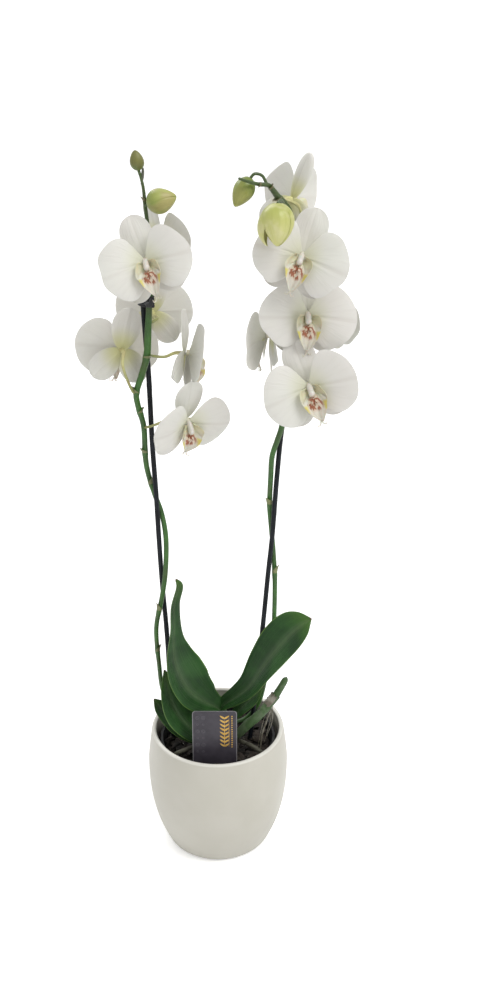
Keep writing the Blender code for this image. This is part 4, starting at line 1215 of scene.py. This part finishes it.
def lip_sheets(draw):
    """Middle lobe: a strap swept down its line, broad at the shoulders, narrow at the tip, rims
    raised. Side lobes: sheets from a base line out to a rim line, bellied between."""
    u = np.linspace(0.0, 1.0, 36)
    a = np.linspace(-1.0, 1.0, 23)[None]
    line = curve(LIP_LINE, u)
    half = level(LIP_HALF, u)[:, None]
    bend = draw.normal(0.0, 0.0010)
    x = half * a + bend * (u[:, None] ** 2)
    rise = half * (0.42 * a * a + 0.10 * np.sin(6 * u[:, None] + 4 * a))
    rise = rise - 0.0004 * np.cos(3 * math.pi * a)
    middle = np.stack((x, line[:, 1:2] + 0.15 * rise, line[:, 2:3] + rise), axis=2)
    sheets = [middle]
    p = np.linspace(0.0, 1.0, 20)
    q = np.linspace(0.0, 1.0, 15)[None, :, None]
    for side in (-1.0, 1.0):
        base, rim = curve(LOBE_BASE, p)[:, None], curve(LOBE_RIM, p)[:, None]
        belly = np.array((0.0012, -0.0002, -0.0010)) * np.sin(math.pi * q)
        flutter = 0.0005 * np.sin(9 * p + draw.uniform(0, 6))[:, None, None] * q
        lobe = base + (rim - base) * q + belly + flutter
        sheets.append(lobe * np.array((side, 1.0, 1.0)))
    return [two_sided(sheet, LIP_THICKNESS) for sheet in sheets]


def lip_tubes(draw):
    """Two curled tendrils at the lip's tip and the two-horned callus in its throat."""
    t = np.linspace(0.0, 1.0, 26)
    skins = []
    for side in (-1.0, 1.0):
        points = np.array(((0.2, -27.2, 8.6), (1.4, -29.8, 7.6), (3.2, -30.2, 9.0),
                           (3.4, -28.4, 10.4))) / 1000
        curl = curve(points * np.array((side, 1.0, 1.0)) * (1 + draw.normal(0.0, 0.02)), t)
        skins.append(tube(curl, level((0.0006, 0.0004, 0.0002), t), 8))
        horn = np.array(((0.8, -9.6, 9.8), (1.4, -10.8, 12.0), (2.2, -12.4, 13.2))) / 1000
        skins.append(tube(curve(horn * np.array((side, 1.0, 1.0)), t),
                          dome(level((0.0013, 0.0012, 0.0007), t), 0.3), 10))
    return skins


def column_skins():
    """The column: a short arched finger leaning over the lip, hooded by the rounded anther cap."""
    t = np.linspace(0.0, 1.0, 30)
    line = np.array(((0.0, 1.0, 0.4), (0.0, 0.8, 3.2), (0.0, -0.6, 6.4), (0.0, -3.6, 9.6))) / 1000
    stem = tube(curve(line, t), level((0.0026, 0.0024, 0.0029, 0.0030), t), 20, 0.8)
    cap_line = curve(np.array(((0.0, -2.0, 8.2), (0.0, -4.2, 10.4), (0.0, -6.6, 11.6))) / 1000, t)
    cap = tube(cap_line, 0.0030 * np.sqrt(np.maximum(1 - (2 * t - 1) ** 2, 0.004)), 20, 0.85)
    return [stem, cap]


def own_place(tree):
    """The point's place in its own flower, in metres, as x, y and z."""
    made = put(tree, "Attribute", attribute_name="own_place", attribute_type="GEOMETRY")
    return made.outputs["Vector"]


def make_tepal():
    """Skin of a petal or sepal: white with broad pinkish and cream clouds, faint greyer veins
    running out from the claw, painted shade along the middle crease, a warm centre, and a Height
    for the vein relief."""
    tree, given, result = new_group(
        "tepal_skin", (("Own", "Vector"), ("UV", "Vector"), ("Cloud", "Vector"), ("Veins", "Float"),
                       ("White", "Color"), ("Centre", "Color")),
        (("Color", "Color"), ("Height", "Float"), ("Back", "Float"), ("Near", "Float")))
    cool = mottle(given["Cloud"], 16.0, paint(214, 207, 202), paint(215, 214, 205))
    white = blend(0.5, given["White"], cool)
    split = xyz(given["UV"])
    lines = put(tree, "CombineXYZ", {0: times(split[0], 1.6), 1: times(split[1], given["Veins"])})
    vein = fade(noise(lines.outputs[0], 1.0, 2.0), 0.46, 0.68)
    distance = put(tree, "VectorMath", {0: given["Own"]}, operation="LENGTH").outputs["Value"]
    near = invert(fade(distance, 0.004, 0.024))
    shade = blend(times(vein, 0.07), white, paint(180, 176, 166))
    middle = off_middle(split[1])
    # Painted shade: a darker grey-brown line is painted along the middle crease, where shade falls
    # in the fold.
    painted_crease_shade = times(fade(middle, 0.03, 0.0), fade(split[0], 0.25, 0.55))
    shade = blend(times(painted_crease_shade, 0.16), shade, paint(176, 166, 156))
    shade = blend(times(near, 0.45), shade, given["Centre"])
    tree.links.new(shade, result["Color"])
    tree.links.new(vein, result["Height"])
    tree.links.new(fade(split[1], 0.995, 1.005), result["Back"])
    tree.links.new(near, result["Near"])
    return tree


TEPAL = make_tepal()


def tepal_look(name, veins, white, centre, back, back_amount):
    """Soft matt petal skin; its back takes another tint towards the claw."""
    look, tree, shader = new_look(name, 0.55, Subsurface_Weight=0.25,
                                  Subsurface_Radius=(1.0, 1.0, 0.9), Subsurface_Scale=0.003,
                                  Sheen_Weight=0.12)
    skin = use_group(TEPAL, Own=own_place(tree), UV=surface_place(tree),
                     Cloud=object_place(tree), Veins=veins, White=white, Centre=centre)
    tinted = times(times(skin["Back"], skin["Near"]), back_amount)
    shade = blend(tinted, skin["Color"], back)
    dress(shader, Base_Color=shade, Normal=relief(skin["Height"], 0.6, 0.00016))
    return look


PETAL = tepal_look("petal_white", 30.0, paint(215, 215, 208), paint(214, 214, 194),
                   paint(204, 205, 172), 0.5)
SEPAL = tepal_look("sepal_white", 18.0, paint(211, 211, 204), paint(209, 209, 190),
                   paint(192, 190, 126), 0.8)


def lip_look():
    """Cream-white lip: red-brown bars and dots in the throat, yellow shoulders, greenish base."""
    look, tree, shader = new_look("lip_speckled", 0.45, Subsurface_Weight=0.10,
                                  Subsurface_Scale=0.003)
    own = own_place(tree)
    split = xyz(own)
    x, y = calc("ABSOLUTE", split[0]), split[1]
    base = mottle(own, 180.0, paint(208, 203, 186), paint(216, 213, 202))
    base = blend(times(fade(y, -0.012, -0.003), 0.45), base, paint(210, 208, 150))
    shoulder = times(fade(x, 0.0048, 0.0072), invert(fade(calc("ABSOLUTE", calc("ADD", y, 0.0150)),
                                                          0.0022, 0.0046)))
    base = blend(times(shoulder, 0.85), base, paint(206, 194, 78))
    high = calc("DIVIDE", calc("ADD", y, 0.0126), 0.0066)
    wide = calc("DIVIDE", x, 0.0068)
    away = calc("SQRT", calc("ADD", times(high, high), times(wide, wide)))
    zone = invert(fade(away, 0.62, 1.10))
    bars = stretched(own, 1.0, 0.42, 0.6)
    marks = fade(noise(bars, 620.0, 2.0), 0.44, 0.54)
    base = blend(times(zone, 0.35), base, paint(206, 168, 134))
    base = blend(times(zone, marks), base, paint(150, 92, 66))
    dress(shader, Base_Color=base, Normal=grain(own, 700.0, 0.0002))
    return look


def column_look():
    """Ivory column, a little pink at its foot, with a waxy cap."""
    look, tree, shader = new_look("column_ivory", 0.36, Subsurface_Weight=0.12,
                                  Subsurface_Scale=0.003)
    own = own_place(tree)
    split = xyz(own)
    base = mottle(own, 260.0, paint(208, 202, 192), paint(215, 211, 203))
    foot = invert(fade(split[2], 0.001, 0.006))
    dress(shader, Base_Color=blend(times(foot, 0.5), base, paint(226, 222, 176)),
          Normal=grain(own, 500.0, 0.0001))
    return look


def stalk_look():
    """Flower stalk: green and brownish at the spike, yellow-white where it swells to the flower."""
    look, tree, shader = new_look("flower_stalk", 0.45)
    along = xyz(surface_place(tree))[0]
    base = blend(fade(along, 0.10, 0.75), paint(138, 142, 84), paint(212, 208, 150))
    patch = fade(noise(object_place(tree), 130.0), 0.46, 0.62)
    base = blend(times(patch, 0.35), base, paint(158, 132, 92))
    dress(shader, Base_Color=base, Normal=grain(object_place(tree), 800.0, 0.0002))
    return look


LIP, COLUMN, STALK = lip_look(), column_look(), stalk_look()

# Centre, turn, lift and roll in degrees, size, and the stalk's points from the spike. Where a
# petal is folded forward of or behind the rest, FOLDS gives both, left and right, in degrees.
FOLDS = {"left_4": (18.0, -16.0), "right_1": (70.0, 12.0), "right_5": (0.0, 8.0)}
FLOWERS = {
    "left_1": ((-0.0513, -0.034, 0.5964), 0, 10, 18, 1.00,
               ((-0.0512, -0.0060, 0.579), (-0.0513, -0.016, 0.587))),
    "left_2": ((-0.0450, 0.016, 0.6055), 125, 10, -2, 0.92,
               ((-0.0515, -0.0045, 0.609), (-0.0460, 0.005, 0.602))),
    "left_3": ((-0.0793, 0.004, 0.5150), -160, 0, 12, 1.00,
               ((-0.0668, -0.0050, 0.479), (-0.0699, -0.0074, 0.482),
                (-0.0750, -0.010, 0.497), (-0.0770, -0.009, 0.507))),
    "left_4": ((-0.0235, 0.008, 0.5105), 78, 0, -24, 1.02,
               ((-0.0562, -0.0062, 0.513), (-0.0420, -0.004, 0.511))),
    "left_5": ((-0.0242, -0.010, 0.4560), 34, -20, 0, 1.04,
               ((-0.0622, 0.0010, 0.4455), (-0.0555, -0.0062, 0.449), (-0.0430, -0.009, 0.455))),
    "left_6": ((-0.0540, 0.038, 0.5400), 178, 0, 0, 0.95,
               ((-0.0538, -0.0058, 0.540), (-0.0475, 0.010, 0.541))),
    "right_1": ((0.0650, 0.006, 0.6400), 150, 0, 12, 1.00,
                ((0.0690, -0.0073, 0.601), (0.0722, -0.011, 0.622), (0.0700, -0.011, 0.636))),
    "right_2": ((0.0719, -0.036, 0.6012), -5, 10, -17, 1.03,
               ((0.0700, -0.0070, 0.590), (0.0715, -0.016, 0.594))),
    "right_3": ((0.0780, -0.022, 0.5512), 5, 10, -3, 1.05,
               ((0.0714, -0.0062, 0.547), (0.0752, -0.0110, 0.5475))),
    "right_4": ((0.0800, -0.041, 0.4964), 0, 8, 20, 1.08,
               ((0.0655, -0.0062, 0.488), (0.0760, -0.015, 0.489))),
    "right_5": ((0.0485, -0.005, 0.5290), -96, 0, 0, 1.00,
               ((0.0705, -0.0062, 0.526), (0.0640, -0.0056, 0.527))),
    "right_6": ((0.0975, 0.022, 0.5360), 140, 0, 0, 0.80,
                ((0.0710, -0.0062, 0.541), (0.0840, -0.004, 0.536), (0.0915, 0.007, 0.531))),
}


def flower_axes(turn, lift, roll):
    """Rows are the flower's +X, +Y and +Z in the frame: it faces -Y turned by turn and raised by
    lift, and rolls about its own face."""
    turn, lift, roll = (math.radians(angle) for angle in (turn, lift, roll))
    face = np.array((math.sin(turn) * math.cos(lift), -math.cos(turn) * math.cos(lift),
                     math.sin(lift)))
    top = unit(np.array((0.0, 0.0, 1.0)) - face * face[2])
    right = np.cross(top, face)
    return np.array((right * math.cos(roll) + top * math.sin(roll),
                     top * math.cos(roll) - right * math.sin(roll), face))


for seed, (name, (centre, turn, lift, roll, size, stalk)) in enumerate(FLOWERS.items()):
    draw = np.random.default_rng(100 + seed)
    axes = flower_axes(turn, lift, roll) * size
    node = "flower_" + name

    def hung(skins):
        return [np.array(centre) + skin @ axes for skin in skins]

    sepals = [two_sided(sepal_front(*numbers, draw)[:, ::-1], SEPAL_THICKNESS) for numbers in (
        CURLED_SEPALS if name == "right_1" else SEPALS)]
    petals = [two_sided(petal_front(side, draw, fold)[:, ::int(side)], PETAL_THICKNESS)
              for side, fold in zip((-1.0, 1.0), FOLDS.get(name, (0.0, 0.0)))]
    piece(name + "_sepals", hung(sepals), SEPAL, [node + "_sepals"], kind="folded",
          own=sepals)
    piece(name + "_petals", hung(petals), PETAL, [node + "_petals"], kind="folded",
          own=petals)
    sheets, tubes, column = lip_sheets(draw), lip_tubes(draw), column_skins()
    piece(name + "_lip", hung(sheets), LIP, [node + "_lip"], kind="folded", own=sheets)
    piece(name + "_callus", hung(tubes), LIP, own=tubes)
    piece(name + "_column", hung(column), COLUMN, own=column)
    behind = hung([np.array(((0, 0, -0.010), (0, 0, -0.0015)))])[0]
    path = stalk_path([*stalk, *behind], STALK_STEPS)
    ribs = 1.0 + 0.10 * np.cos(6 * circle(STALK_SIDES))
    grow = level((0.0012, 0.0011, 0.0012, 0.0015, 0.0021), np.linspace(0, 1, STALK_STEPS))[:, None]
    piece(name + "_stalk", [tube(path, grow * ribs, STALK_SIDES)], STALK)


# ---------------------------------------------------------------- floor, light and camera
# A plain pale paper sweep, a bright sky of studio walls and two large soft lamps.


def sweep_mesh():
    """Paper: level floor running into a quarter-round and up a wall, as one sheet."""
    bend = np.linspace(0.0, math.pi / 2, 12)
    y = np.concatenate(((-6.0, -2.0, 0.0, 1.5), 2.5 + 1.5 * np.sin(bend), (4.0,)))
    z = np.concatenate((np.zeros(4), 1.5 - 1.5 * np.cos(bend), (7.0,)))
    x = np.linspace(-7.0, 7.0, 5)
    grid = np.stack((np.broadcast_to(x, (len(y), 5)), np.broadcast_to(y[:, None], (len(y), 5)),
                     np.broadcast_to(z[:, None], (len(y), 5))), axis=2)
    mesh = bpy.data.meshes.new("paper_sweep")
    row, col = np.meshgrid(np.arange(len(y) - 1), np.arange(4), indexing="ij")
    first = (row * 5 + col).ravel()
    faces = np.stack((first, first + 1, first + 6, first + 5), axis=1)
    mesh.from_pydata(grid.reshape(-1, 3).tolist(), [], faces.tolist())
    mesh.shade_smooth()
    return mesh


PAPER_GLOW = 0.35
WALL_BRIGHTNESS = 0.70
LAMP_AIM = (0.0, 0.0, 0.35)
CAMERA_DIP = 23.62

floor = bpy.data.objects.new("paper_sweep", sweep_mesh())
bpy.context.scene.collection.objects.link(floor)
paper, paper_tree, paper_shader = new_look("pale_paper", 0.9)
dress(paper_shader, Base_Color=mottle(object_place(paper_tree), 3.0, paint(248, 248, 247),
                                      paint(250, 250, 250)))
seen = put(paper_tree, "LightPath").outputs["Is Camera Ray"]
paper_shader["Emission Color"].default_value = (1.0, 1.0, 1.0, 1.0)
dress(paper_shader, Emission_Strength=times(seen, PAPER_GLOW))
floor.data.materials.append(paper)

sky = bpy.data.worlds.new("studio_walls")
bpy.context.scene.world = sky
sky.use_nodes = True
sky.node_tree.nodes["Background"].inputs["Color"].default_value = (1.0, 1.0, 1.0, 1.0)
sky.node_tree.nodes["Background"].inputs["Strength"].default_value = WALL_BRIGHTNESS

LAMPS = (("lamp_key", (1.2, -1.0, 2.4), 1.2, 30.0), ("lamp_back", (-1.2, 1.6, 2.2), 1.6, 24.0))
for name, place, size, power in LAMPS:
    lamp = bpy.data.objects.new(name, bpy.data.lights.new(name, "AREA"))
    lamp.data.shape = "DISK"
    lamp.data.size = size
    lamp.data.energy = power
    lamp.location = place
    aim = np.array(LAMP_AIM) - np.array(place)
    flat_reach = math.hypot(aim[0], aim[1])
    lamp.rotation_euler = (math.pi / 2 + math.atan2(aim[2], flat_reach), 0.0,
                           math.atan2(aim[1], aim[0]) - math.pi / 2)
    bpy.context.scene.collection.objects.link(lamp)

camera = bpy.data.objects.new("camera", bpy.data.cameras.new("camera"))
camera.data.lens = 36.0
camera.data.sensor_width = 36.0
camera.location = (0.0255, -0.835, 0.741)
camera.rotation_euler = (math.radians(90.0 - CAMERA_DIP), 0.0, 0.0)
bpy.context.scene.collection.objects.link(camera)
bpy.context.scene.camera = camera
bpy.context.scene.view_settings.view_transform = "Standard"
